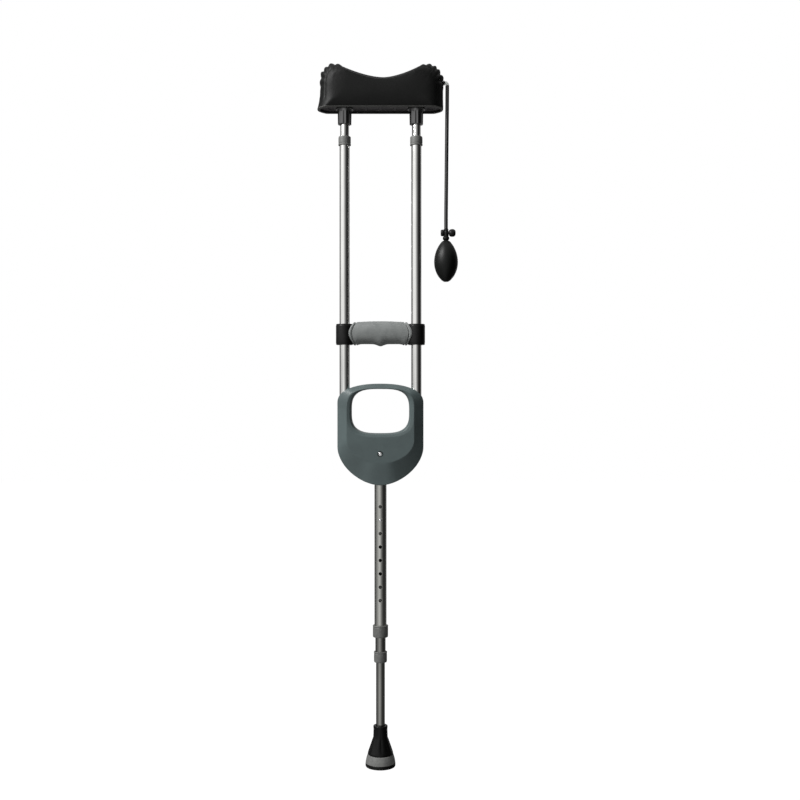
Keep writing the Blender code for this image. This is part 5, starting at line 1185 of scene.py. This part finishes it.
def makeLatch(side, label):
    near, far = grip["plate"]
    half, start, end = grip["plateHalfHeight"], (near + far) / 2, grip["leafEnd"]
    block = sideBlock(side, near, far, (grip["plateFront"], -half), (grip["tabEnd"], half))
    latch = addPiece(f"grip_latch_{label}", blocks((*block, 0.0005)), blackMoulding)
    length, radius = tubeX - grip["pegTip"] - start, grip["pegRadius"]
    peg = lathe([(0, 0), (radius, 0), (radius, length, 0.0008), (0, length)], smooth["small"])
    join(latch, placed(peg, alongX if side > 0 else alongMinusX, (side * start, 0, gripZ)))
    leaf = bmesh.new()
    bmesh.ops.create_grid(leaf, x_segments=grip["leafSteps"], y_segments=1, size=0.5)
    for vert in leaf.verts:
        share = vert.co.x + 0.5
        vert.co = Vector((side * (start + (end - start) * share), vert.co.y * 2 * grip["leafHalfWidth"],
                          gripZ + grip["leafWave"] * math.sin(math.tau * share)))
    bmesh.ops.solidify(leaf, geom=leaf.faces[:], thickness=grip["leaf"])
    join(latch, leaf)
    carve(latch, rods(*[((side * (near - 0.001), grip["tabEnd"], gripZ + z),
                         (side * (far + 0.001), grip["tabEnd"], gripZ + z), 0.0005, 12)
                        for z in grip["notches"]]))
    # the leaf is the latch's spring, its inner end bearing on the grip core; here the latch is only taken off
    # its body
    springBetween(latch)


def makeGrip():
    makeSleeve()
    for side, label in ends:
        makeClamp(side, label)
        makeLatch(side, label)


makeGrip()
print("stage: grip made")


# Yoke housing: two moulded halves round the tubes, with a window
yoke = {
    "halfWidth": 0.0805, "top": 0.1313, "shoulder": 0.0950, "hip": 0.0125, "bottom": -0.0583,
    "topPower": 2.3, "bottomPower": 1.8, "halfDepth": 0.0180, "sideDepth": 0.0060,
    "legCover": 0.0082, "legCoverWidth": 0.0370, "tubeCover": 0.0064, "tubeCoverWidth": 0.0140,
    "tubeCoverFade": 0.0100, "wall": 0.0025, "faceWall": 0.0035,
    "crestHalfWidth": 0.0629, "crestTop": 0.1225, "crestShoulder": 0.0830, "crestHip": 0.0270,
    "crestBottom": -0.0170, "crestPower": 3.2, "crestBottomPower": 2.0,
    "windowHalfWidth": 0.0536, "windowHalfHeight": 0.0412, "windowCentre": 0.0800, "windowPower": 3.2,
    "lipSide": 0.0087, "lipBelow": 0.0074, "lipAbove": 0.0010, "bevelDepth": 0.0014, "lipRound": 0.0050,
    "topCore": 0.0011, "lowCore": 0.0030, "edges": (0.0004, 0.0012, 0.0009, 0.0007, 0.0009, 0.0012, 0.0004),
    "facets": 200, "overcut": 0.001, "rib": 0.0025, "ribOverTubeEnd": 0.0780, "ribOverBottom": 0.0180,
    "boss": 0.0068, "rearBoss": 0.0042, "screwHole": 0.0029, "recess": 0.0038, "recessRadius": 0.0054,
    "nutPocket": 0.0050, "rearScrewHole": 0.0019, "rearHeadHole": 0.0034, "rearHeadFloor": 0.0110,
    "rearScrews": ((-0.0420, 0.0180), (0.0420, 0.0180), (-0.0300, -0.0200), (0.0300, -0.0200)),
    "rearScrewReach": 0.0090, "pegRadius": 0.0030,
    "screwHead": 0.0028, "screwHeadRadius": 0.0043, "screwRadius": 0.0025, "keyRadius": 0.0016,
    "rearHead": 0.0020, "crossHalf": 0.00035, "crossDepth": 0.0011,
}


def yokeRing(halfWidth, top, shoulder, hip, bottom, topPower, bottomPower, depth, side, covers=(0.0, 0.0)):
    # a level line: a superellipse above the shoulder and one below the hip, straight between
    centre, fade = yoke["windowCentre"], yoke["tubeCoverFade"]
    legCover, tubeCover = covers

    def inside(x, z):
        across = abs(x) / halfWidth
        if z > shoulder:
            return across**topPower + ((z - shoulder) / (top - shoulder)) ** topPower < 1
        if z < hip:
            return across**bottomPower + ((hip - z) / (hip - bottom)) ** bottomPower < 1
        return across < 1

    def point(angle):
        turn = angle + 0.22 * math.sin(2 * angle)
        low, high = 0.0, 0.2
        for _ in range(24):
            reach = (low + high) / 2
            if inside(reach * math.cos(turn), centre + reach * math.sin(turn)):
                low = reach
            else:
                high = reach
        x, z = low * math.cos(turn), centre + low * math.sin(turn)
        proud = legCover * bulge(x, 0, yoke["legCoverWidth"], 4) if z < hip else 0.0
        rise = limited((z - shoulder + fade) / (2 * fade))
        proud += tubeCover * rise * bulge(abs(x), tubeX, yoke["tubeCoverWidth"])
        return Vector((x, side * (depth + proud), yokeZ + z))

    return point


def bodyRing(inset, depth, side, covers=(0.0, 0.0)):
    return yokeRing(yoke["halfWidth"] - inset, yoke["top"] - inset, yoke["shoulder"], yoke["hip"],
                    yoke["bottom"] + inset, yoke["topPower"], yoke["bottomPower"], depth, side, covers)


def crestRing(depth, side, inset=0.0, over=0.0, under=0.0):
    return yokeRing(yoke["crestHalfWidth"] - inset, yoke["crestTop"] + over, yoke["crestShoulder"],
                    yoke["crestHip"], yoke["crestBottom"] + under, yoke["crestPower"],
                    yoke["crestBottomPower"], depth, side)


def windowRing(out, above, below, depth, side):
    low = yoke["windowCentre"] - yoke["windowHalfHeight"] - below
    high = yoke["windowCentre"] + yoke["windowHalfHeight"] + above
    halfway, power = (low + high) / 2, yoke["windowPower"]
    return yokeRing(yoke["windowHalfWidth"] + out, high, halfway, halfway, low, power, power, depth, side)


def filleted(stations):
    # a closed loop of (station, fillet) with each corner rounded into a short curve
    result = []
    for i, (here, radius) in enumerate(stations):
        trio = stations[i - 1][0], here, stations[(i + 1) % len(stations)][0]
        for step in range(smooth["fillet"] + 1):
            result.append(lambda angle, trio=trio, radius=radius, step=step:
                          curveRound(*[station(angle) for station in trio], radius)[step])
    return result


def yokeSkin(side):
    face, drop, deep = yoke["halfDepth"], yoke["bevelDepth"], yoke["lipRound"]
    lip = (yoke["lipSide"], yoke["lipAbove"], yoke["lipBelow"])
    stations = (
        bodyRing(0, fit / 2, side),
        bodyRing(0, yoke["sideDepth"], side, (yoke["legCover"], yoke["tubeCover"])),
        crestRing(face, side),
        windowRing(*lip, face, side),
        windowRing(*[size * 0.36 for size in lip], face - drop, side),
        windowRing(*[size * 0.12 for size in lip], face - drop - deep, side),
        windowRing(0, 0, 0, fit / 2, side),
    )
    return filleted(list(zip(stations, yoke["edges"])))


def yokeHollow(side):
    floor, wall, over = yoke["halfDepth"] - yoke["faceWall"], yoke["wall"], yoke["overcut"]
    # at the top the ring round the window ends two gaps inside the crest's
    above = yoke["topCore"] + yoke["crestTop"] - yoke["windowCentre"] - yoke["windowHalfHeight"] - 2 * fit
    return [
        bodyRing(wall, -over, side),
        bodyRing(wall, yoke["sideDepth"] - over / 2, side),
        crestRing(floor, side, fit, yoke["topCore"], yoke["lowCore"]),
        windowRing(yoke["lipSide"], above, yoke["lipBelow"], floor, side),
        windowRing(wall + over, wall + fit, wall + over, floor - yoke["lipRound"], side),
        windowRing(wall, wall, wall, -over, side),
    ]


def yokeRibs(side):
    # cross ribs and screw bosses, left standing when the half is cored out
    span = sorted((side * 2 * yoke["halfDepth"], -side * 2 * yoke["overcut"]))
    near, far, rib = yoke["windowHalfWidth"] + yoke["wall"] / 2, yoke["halfWidth"], yoke["rib"]
    reach = legRadius + 2 * rib
    bm, spots = bmesh.new(), []
    for low in (sideLow + yoke["ribOverTubeEnd"], sideLow - fit - rib):
        spots += [((end * far, end * near), low) for end, _ in ends]
    for low in (yokeZ + yoke["bottom"] + yoke["ribOverBottom"], legTop + fit):
        spots.append(((-reach, reach), low))
    for xs, low in spots:
        addBlock(bm, (min(xs), span[0], low), (max(xs), span[1], low + rib))
    for x, z, radius in ((0, 0, yoke["boss"]), *[(*place, yoke["rearBoss"]) for place in yoke["rearScrews"]]):
        addRod(bm, (x, span[0], yokeZ + z), (x, span[1], yokeZ + z), radius)
    return bm


def tubeRods(low, high, radius, segments=32):
    return [((side * tubeX, 0, low), (side * tubeX, 0, high), radius, segments) for side, _ in ends]


def deepHoles(places, start, end, radius, segments=32):
    # holes through the yoke's depth, at places measured from its screw
    return [((x, start, yokeZ + z), (x, end, yokeZ + z), radius, segments) for x, z in places]


def makeHousing(side, label):
    over, floor, rear = yoke["overcut"], yoke["halfDepth"] - yoke["recess"], yoke["rearScrews"]
    half = addPiece(f"housing_{label}", stackRings(yokeSkin(side), yoke["facets"]), yokeShell)
    core = addTool(stackRings(yokeHollow(side), yoke["facets"]))
    carve(core, yokeRibs(side))
    cutWith(half, core)
    sky, under = yokeZ + yoke["top"] + 0.01, yokeZ + yoke["bottom"] - 0.01
    bores = tubeRods(sideLow - fit, sky, sideRadius + fit, 64)
    carve(half, rods(*bores, ((0, 0, under), (0, 0, legTop + fit), legRadius + fit, 64)))
    out, centre = side * (yoke["halfDepth"] + over), [(0, 0)]
    end = out if side > 0 else -(yoke["rearScrewReach"] + over)
    carve(half, rods(*deepHoles(centre, 0, out, yoke["screwHole"]),
                     *deepHoles(rear, 0, end, yoke["rearScrewHole"])))
    if side < 0:
        carve(half, rods(*deepHoles(centre, -floor, out, yoke["recessRadius"], 64)))
        addPegs(half)
    else:
        carve(half, rods(*deepHoles(centre, floor, out, yoke["nutPocket"], 6),
                         *deepHoles(rear, yoke["rearHeadFloor"], out, yoke["rearHeadHole"], 48)))
    evenNormals(half)


def addPegs(half):
    # one peg for each side tube's hole, as a shell of its own with its root sunk in the wall
    z, over = sideLow + tubes["pegOverTubeEnd"], yoke["overcut"]
    bm = bmesh.new()
    bm.from_mesh(half.data)
    for end, _ in ends:
        addRod(bm, (end * tubeX, -(sideRadius + 3 * over), z), (end * tubeX, -(sideRadius - over), z),
               yoke["pegRadius"])
    bm.to_mesh(half.data)
    bm.free()
    shade(half)


def evenNormals(piece):
    # wide faces keep their true normals beside the thin ones that cutting leaves
    piece.data.validate()
    for face in piece.data.polygons:
        face.use_smooth = face.use_smooth and abs(face.normal.y) < 0.9999
    change(piece, "WEIGHTED_NORMAL", keep_sharp=True, weight=80)


def makeYokeScrews():
    low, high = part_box("housing_screw")
    head, radius, shank = yoke["screwHead"], yoke["screwHeadRadius"], yoke["screwRadius"]
    length = high.y - low.y - head
    screw = addPiece("housing_screw", lathe([
        (0, 0), (shank, 0, 0.0005), (shank, length), (radius, length, 0.0002),
        (radius, length + head * 0.45, 0.0006), (radius * 0.72, length + head * 0.92, 0.0012),
        (radius * 0.4, length + head, 0.0004), (0, length + head),
    ], 48), brightSteel, alongMinusY, (0, high.y, yokeZ))
    key = rods(*deepHoles([(0, 0)], low.y - 0.001, low.y + 0.0014, yoke["keyRadius"], 6))
    carve(screw, key, solver="EXACT", bevel=0.0001)
    low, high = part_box("housing_nut")
    thickness, radius = high.y - low.y, (high.x - low.x) / 2
    nut = addPiece("housing_nut", rods(*deepHoles([(0, 0)], low.y, high.y, radius, 6)), brightSteel)
    chamfer = lathe([
        (radius * 0.90, thickness), (radius * 1.3, thickness - radius * 0.26),
        (radius * 1.3, thickness + 0.002), (radius * 0.90, thickness + 0.002),
    ], 48)
    carve(nut, placed(chamfer, alongY, (0, low.y, yokeZ)))
    carve(nut, rods(*deepHoles([(0, 0)], low.y - 0.001, high.y + 0.001, shank + fit)), bevel=0.0002)
    for number in range(1, 5):
        makeRearScrew(f"rear_screw_{number}")


def makeRearScrew(node):
    low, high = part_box(node)
    centre = (low + high) / 2
    radius, head, length = (high.x - low.x) / 2, yoke["rearHead"], high.y - low.y
    shank = radius / 2
    screw = addPiece(node, lathe([
        (0, 0), (shank * 0.6, 0.0006, 0.0003), (shank, 0.0026, 0.0003), (shank, length - head),
        (radius, length - head, 0.0002), (radius, length - head * 0.5, 0.0006),
        (radius * 0.6, length - head * 0.05, 0.0008), (0, length),
    ], smooth["small"]), brightSteel, alongY, (centre.x, low.y, centre.z))
    arm, slot = radius * 0.62, yoke["crossHalf"]
    for across, up in ((arm, slot), (slot, arm)):
        carve(screw, blocks(((centre.x - across, high.y - yoke["crossDepth"], centre.z - up),
                             (centre.x + across, high.y + 0.001, centre.z + up))))


makeHousing(-1, "front")
makeHousing(1, "rear")
makeYokeScrews()
print("stage: yoke made")


# Pad sockets and base plate
socket = {
    "wall": 0.0048, "taper": 0.0005, "depth": 0.0206, "flangeRadius": 0.0165, "flange": 0.0034,
    "flutes": 12, "fluteDepth": 0.0009, "screwBore": 0.0024, "screwPlay": 0.0004,
}
plate = {
    "endSteps": 24, "edge": 0.0006, "screwHole": 0.0024, "headHole": 0.0044, "head": 0.0022,
    "pockets": (-0.0405, -0.0135, 0.0135, 0.0405), "pocketHalf": 0.0118, "pocketHalfDepth": 0.0170,
    "pocketDepth": 0.0016, "endPocket": (0.0875, 0.0985), "endPocketHalfDepth": 0.0105,
}
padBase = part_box("pad_cover")[0].z
plateLow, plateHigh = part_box("pad_base_plate")


def makeSocket(side, label):
    low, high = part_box(f"pad_socket_{label}")
    height, rim, screwBore = high.z - low.z, socket["flangeRadius"], socket["screwBore"]
    bore, flange = padTubeRadius + fit, height - socket["flange"]
    outside = bore + socket["wall"]
    profile = [
        (bore, 0, 0.0005), (outside - socket["taper"], 0, 0.0009), (outside, flange - 0.0034, 0.0010),
        (outside + 0.0012, flange, 0.0008), (rim, flange, 0.0006), (rim, height, 0.0005), (screwBore, height),
        (screwBore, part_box(f"pad_screw_{label}")[0].z - socket["screwPlay"] - low.z),
        (screwBore - fit, socket["depth"]), (bore, socket["depth"]),
    ]

    def fluted(point):
        radius, below = point.xy.length, flange - 0.0012 - point.z
        if radius < bore + 0.001 or below < 0:
            return point
        wave = abs(math.cos(socket["flutes"] / 2 * math.atan2(point.y, point.x))) ** 1.4
        return shrunk(point, socket["fluteDepth"] * min(1.0, below / 0.0040) * wave / radius)

    addPiece(f"pad_socket_{label}", lathe(profile, socket["flutes"] * 10, fluted), socketBlack, None,
             (side * tubeX, 0, low.z))


def stadium(halfLength, halfWidth, low, high):
    bm = bmesh.new()
    centre, points = halfLength - halfWidth, []
    for side, _ in reversed(ends):
        turns = [-90 + 180 * i / plate["endSteps"] for i in range(plate["endSteps"] + 1)]
        points += [(side * x, side * y, low) for x, y in arc(centre, 0, halfWidth, halfWidth, turns)]
    face = bm.faces.new([bm.verts.new(point) for point in points])
    grown = bmesh.ops.extrude_face_region(bm, geom=[face])["geom"]
    moved = [item for item in grown if isinstance(item, bmesh.types.BMVert)]
    bmesh.ops.translate(bm, vec=(0, 0, high - low), verts=moved)
    return bm


def makePlate():
    low, high = plateLow, plateHigh
    piece = addPiece("pad_base_plate", stadium(high.x, high.y, low.z, high.z), plateBlack)
    half, floor, under = plate["pocketHalf"], low.z + plate["pocketDepth"], low.z - 0.001
    pockets = [(x - half, x + half, plate["pocketHalfDepth"]) for x in plate["pockets"]]
    for side, _ in ends:
        pockets.append((*sorted(side * x for x in plate["endPocket"]), plate["endPocketHalfDepth"]))
    carve(piece, blocks(*[((left, -depth, under), (right, depth, floor)) for left, right, depth in pockets]))
    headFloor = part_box("pad_screw_left")[1].z - plate["head"]
    carve(piece, rods(*tubeRods(under, headFloor + 0.001, plate["screwHole"])))
    carve(piece, rods(*tubeRods(headFloor - fit, high.z + 0.001, plate["headHole"])), bevel=plate["edge"] / 2)


def makeSockets():
    for side, label in ends:
        makeSocket(side, label)


makeSockets()
makePlate()
print("stage: sockets and base plate made")


# Armpit pad: a cover swelled by simulation, then gathered at both ends and seamed, over its air bladder
pad = {
    "halfLength": 0.1178, "waists": {-1: 0.0028, 1: -0.0006}, "flareHeight": 0.0300, "height": 0.0868,
    "saddleHeight": 0.0610, "saddleAt": 0.0055, "hornAt": 0.0830, "saddlePower": 1.65, "endPower": 2.6,
    "endArc": 0.0455, "baseHalfDepth": 0.0275, "halfDepth": 0.0330, "crownRadius": 0.0380, "undercut": 0.0140,
    "wall": 0.0040, "bladderWall": 0.0015,
    "saddleSteps": 40, "endSteps": 30, "sideSteps": 12, "baseSteps": 32, "levels": 22,
    "inset": 0.0010, "voxel": 0.0026, "pressure": 4.0, "frames": 20, "swell": 0.0026,
    "seamAt": 0.0245, "seamWidth": 0.0011, "seamDepth": 0.0010, "pinHeight": 0.0050,
    # Ridges over each end, by their slope over the end's centre: 90 is straight up
    "ridges": {-1: (104, 72, 53, 36, 15, -9), 1: (97, 73, 56, 43, 25, 6)},
    "ridgeSizes": {-1: (0.9, 1.0, 0.7, 0.9, 0.5, 0.25), 1: (0.5, 0.8, 0.8, 0.8, 1.25, 0.6)}, "ridgeFade": 15,
    "gatherHeight": 0.0044, "gatherSink": 0.0018, "pucker": 0.0005,
    "extraFlare": {-1: 0.0024, 1: 0.0012},
    "bead": 0.0008, "beadAt": 0.0010, "beadWidth": 0.0009,
}
arcLow = pad["height"] - pad["endArc"]


def padHalf(end):
    # the outline from the saddle over one horn and down to the base, as (x, height over the base)
    waist, half = pad["halfLength"] - pad["waists"][end], []
    saddle, horn, power = pad["saddleAt"], pad["hornAt"], 2 / pad["endPower"]
    for i in range(pad["saddleSteps"]):
        share = i / pad["saddleSteps"]
        rise = (pad["height"] - pad["saddleHeight"]) * share ** pad["saddlePower"]
        half.append((saddle + (end * horn - saddle) * share, pad["saddleHeight"] + rise))
    for i in range(pad["endSteps"] + 1):
        turn = math.pi / 2 * (1 - i / pad["endSteps"])
        across, up = max(0.0, math.cos(turn)) ** power if i else 0.0, max(0.0, math.sin(turn)) ** power
        half.append((end * (horn + (waist - horn) * across), arcLow + pad["endArc"] * up))
    for i in range(1, pad["sideSteps"] + 1):
        height = arcLow * (1 - i / pad["sideSteps"])
        half.append((end * (waist + (pad["halfLength"] - waist) * flareAt(height)), height))
    return half


def flareAt(height):
    # 1 at the base, 0 from the flare's top up
    return max(0.0, 1 - height / pad["flareHeight"]) ** 2


def padOutline():
    steps = pad["baseSteps"]
    base = [(pad["halfLength"] * (1 - 2 * i / steps), 0.0) for i in range(1, steps)]
    return padHalf(1) + base + padHalf(-1)[:0:-1]


outline = padOutline()


def padStation(level, inset, floor=0.0):
    # one upright slice of the pad, drawn in by inset, standing on a floor over the base
    halfLength, halfDepth, crownRadius = pad["halfLength"], pad["halfDepth"], pad["crownRadius"]
    sway = level * halfDepth
    endRound = halfDepth - math.sqrt(max(halfDepth**2 - sway**2, 0.0))
    across = (halfLength - inset - endRound) / halfLength
    crown = crownRadius - math.sqrt(crownRadius**2 - sway**2)
    up = (pad["height"] - inset - crown) / pad["height"]
    slack = max(0.0, abs(sway) - pad["baseHalfDepth"]) / (halfDepth - pad["baseHalfDepth"])
    lift = max(floor, pad["undercut"] * slack**2)

    def point(angle):
        x, height = outline[round(angle / math.tau * len(outline)) % len(outline)]
        return Vector((x * across, level * (halfDepth - inset),
                       padBase + lift + height * (up - lift / pad["height"])))

    return point


def padLump(inset, floor=0.0):
    levels = [-math.cos(math.pi * i / pad["levels"]) for i in range(pad["levels"] + 1)]
    return stackRings([padStation(level, inset, floor) for level in levels], len(outline), False)


def swell(piece):
    # pressure rounds the cover out, held at its base and along its two seams
    group = piece.vertex_groups.new(name="held")
    rest = [vert.co.copy() for vert in piece.data.vertices]
    for vert in piece.data.vertices:
        held = 1.0 if vert.co.z < padBase + pad["pinHeight"] else 0.0
        held = max(held, 1.0 - abs(abs(vert.co.y) - pad["seamAt"]) / (3 * pad["seamWidth"]))
        if held > 0:
            group.add([vert.index], held, "REPLACE")
    cloth = piece.modifiers.new("swell", "CLOTH")
    cloth.settings.use_pressure = True
    cloth.settings.uniform_pressure_force = pad["pressure"]
    cloth.settings.effector_weights.gravity = 0.0
    cloth.settings.vertex_group_mass = group.name
    cloth.settings.quality = 4
    cloth.point_cache.frame_end = pad["frames"]
    for number in range(1, pad["frames"] + 1):
        scene.frame_set(number)
    settle(piece)
    scene.frame_set(1)
    for vert, start in zip(piece.data.vertices, rest):
        moved = vert.co - start
        if moved.length > pad["swell"]:
            vert.co = start + moved * (pad["swell"] / moved.length)


def ridgeLobe(end, turn):
    # a ridge's full size on it, 0 halfway to the next, and fading out past the first and the last
    ridges, sizes = pad["ridges"][end], pad["ridgeSizes"][end]
    beyond = max(turn - ridges[0], ridges[-1] - turn)
    if beyond >= 0:
        size = sizes[0] if turn >= ridges[0] else sizes[-1]
        return size * math.cos(math.pi / 2 * min(1.0, beyond / pad["ridgeFade"])) ** 2
    place = max(k for k, ridge in enumerate(ridges) if ridge > turn)
    share = (ridges[place] - turn) / (ridges[place] - ridges[place + 1])
    return sizes[place + round(share)] * abs(math.cos(math.pi * share)) ** 1.3


def ridgeShift(point, end, across, up, turn):
    # how far the ridges that run over an end from seam to seam move a point
    first, last, fading = pad["ridges"][end][0], pad["ridges"][end][-1], pad["ridgeFade"]
    outward = Vector((end * max(across, 0.0) * (endWidth(end)), 0, max(up, 0.0) * pad["endArc"]))
    if not last - fading < turn < first + fading or outward.length <= 0.006:
        return Vector()
    stray = noise.noise(Vector((point.x * 20, point.y * 30, point.z * 20)) + Vector((3.1 * end, 0, 0)))
    lobe = ridgeLobe(end, turn + 4 * stray)
    size = 0.92 + 0.3 * noise.noise(Vector((turn / 16, 4.0 * end, point.y * 20)))
    sunk = min(1.0, (turn - last + fading) / 12, (first + fading - turn) / 12)
    beside = abs(point.y) / pad["seamAt"]
    fade = max(0.0, 1 - beside**4) * 0.85 + 0.15 * max(0.0, 1 - max(0.0, beside - 1) * 9)
    return outward.normalized() * (pad["gatherHeight"] * lobe - pad["gatherSink"] * sunk) * size * fade


def endWidth(end):
    return pad["halfLength"] - pad["waists"][end] - pad["hornAt"]


def gather(point):
    # the ridges, the flare's foot, the seams with the puckers along them, and the bound rim
    end, height = 1 if point.x > 0 else -1, point.z - padBase
    across = (abs(point.x) - pad["hornAt"]) / endWidth(end)
    up = (height - arcLow) / pad["endArc"]
    turn = math.degrees(math.atan2(up, across))
    moved = point + ridgeShift(point, end, across, up, turn)
    moved.x += end * pad["extraFlare"][end] * flareAt(height) * limited(across + 0.6)
    inward = Vector((-point.x * 0.2, -point.y, padBase + 0.03 - point.z)).normalized()
    under, aside = limited((height - 0.012) / 0.008), abs(point.y)
    moved += inward * pad["seamDepth"] * bulge(aside, pad["seamAt"], pad["seamWidth"]) * under
    onTop = limited((turn - 20) / 40, 0.15) if across > -0.2 else 0.25
    ripple = math.sin(point.x * 700 + 5 * noise.noise(point * 60)) * math.sin(point.z * 300 + 2.0)
    near = bulge(aside, pad["seamAt"], 4 * pad["seamWidth"])
    moved += inward * pad["pucker"] * near * under * onTop * ripple
    bead = pad["bead"] * bulge(height, pad["beadAt"], pad["beadWidth"])
    return moved + Vector((0.2 * point.x, point.y, 0)).normalized() * bead


def makeCover(floor, nippleHole):
    cover = addPiece("pad_cover", padLump(pad["inset"]), padVinyl)
    change(cover, "REMESH", mode="VOXEL", voxel_size=pad["voxel"])
    swell(cover)
    change(cover, "SUBSURF", levels=1, render_levels=1)
    for vert in cover.data.vertices:
        vert.co = gather(vert.co)
    carve(cover, padLump(pad["wall"], floor))
    carve(cover, stadium(plateHigh.x + fit, plateHigh.y + fit, padBase - 0.003, plateHigh.z + 0.001))
    carve(cover, rods(nippleHole))
    start, end = (nippleShoulder - fit, 0, nippleZ), (elbowHigh.x, 0, nippleZ)
    carve(cover, rods((start, end, airLine["nippleFlangeRadius"] + fit)))


def makeBladder(floor, nippleHole):
    inset, wall = pad["wall"] + fit, pad["bladderWall"]
    bladder = addPiece("air_bladder", padLump(inset, floor + fit), bladderRubber)
    carve(bladder, padLump(inset + wall, floor + fit + wall))
    carve(bladder, rods(nippleHole))


def makePad():
    floor = plateHigh.z - padBase
    nippleHole = (nippleLow.x, 0, nippleZ), (elbowHigh.x, 0, nippleZ), airLine["nippleRadius"] + fit
    makeCover(floor, nippleHole)
    makeBladder(floor, nippleHole)


makePad()
print("stage: pad made")


def finishHidden():
    # nodes that stay as solids, because other pieces hide them
    hidden = {"grip_core": blackMoulding, "foot_washer": brightSteel}
    for _, label in ends:
        hidden[f"grip_screw_{label}"] = hidden[f"pad_screw_{label}"] = brightSteel
    for node, finish in hidden.items():
        frame["nodes"][node].data.materials.clear()
        frame["nodes"][node].data.materials.append(finish)


finishHidden()
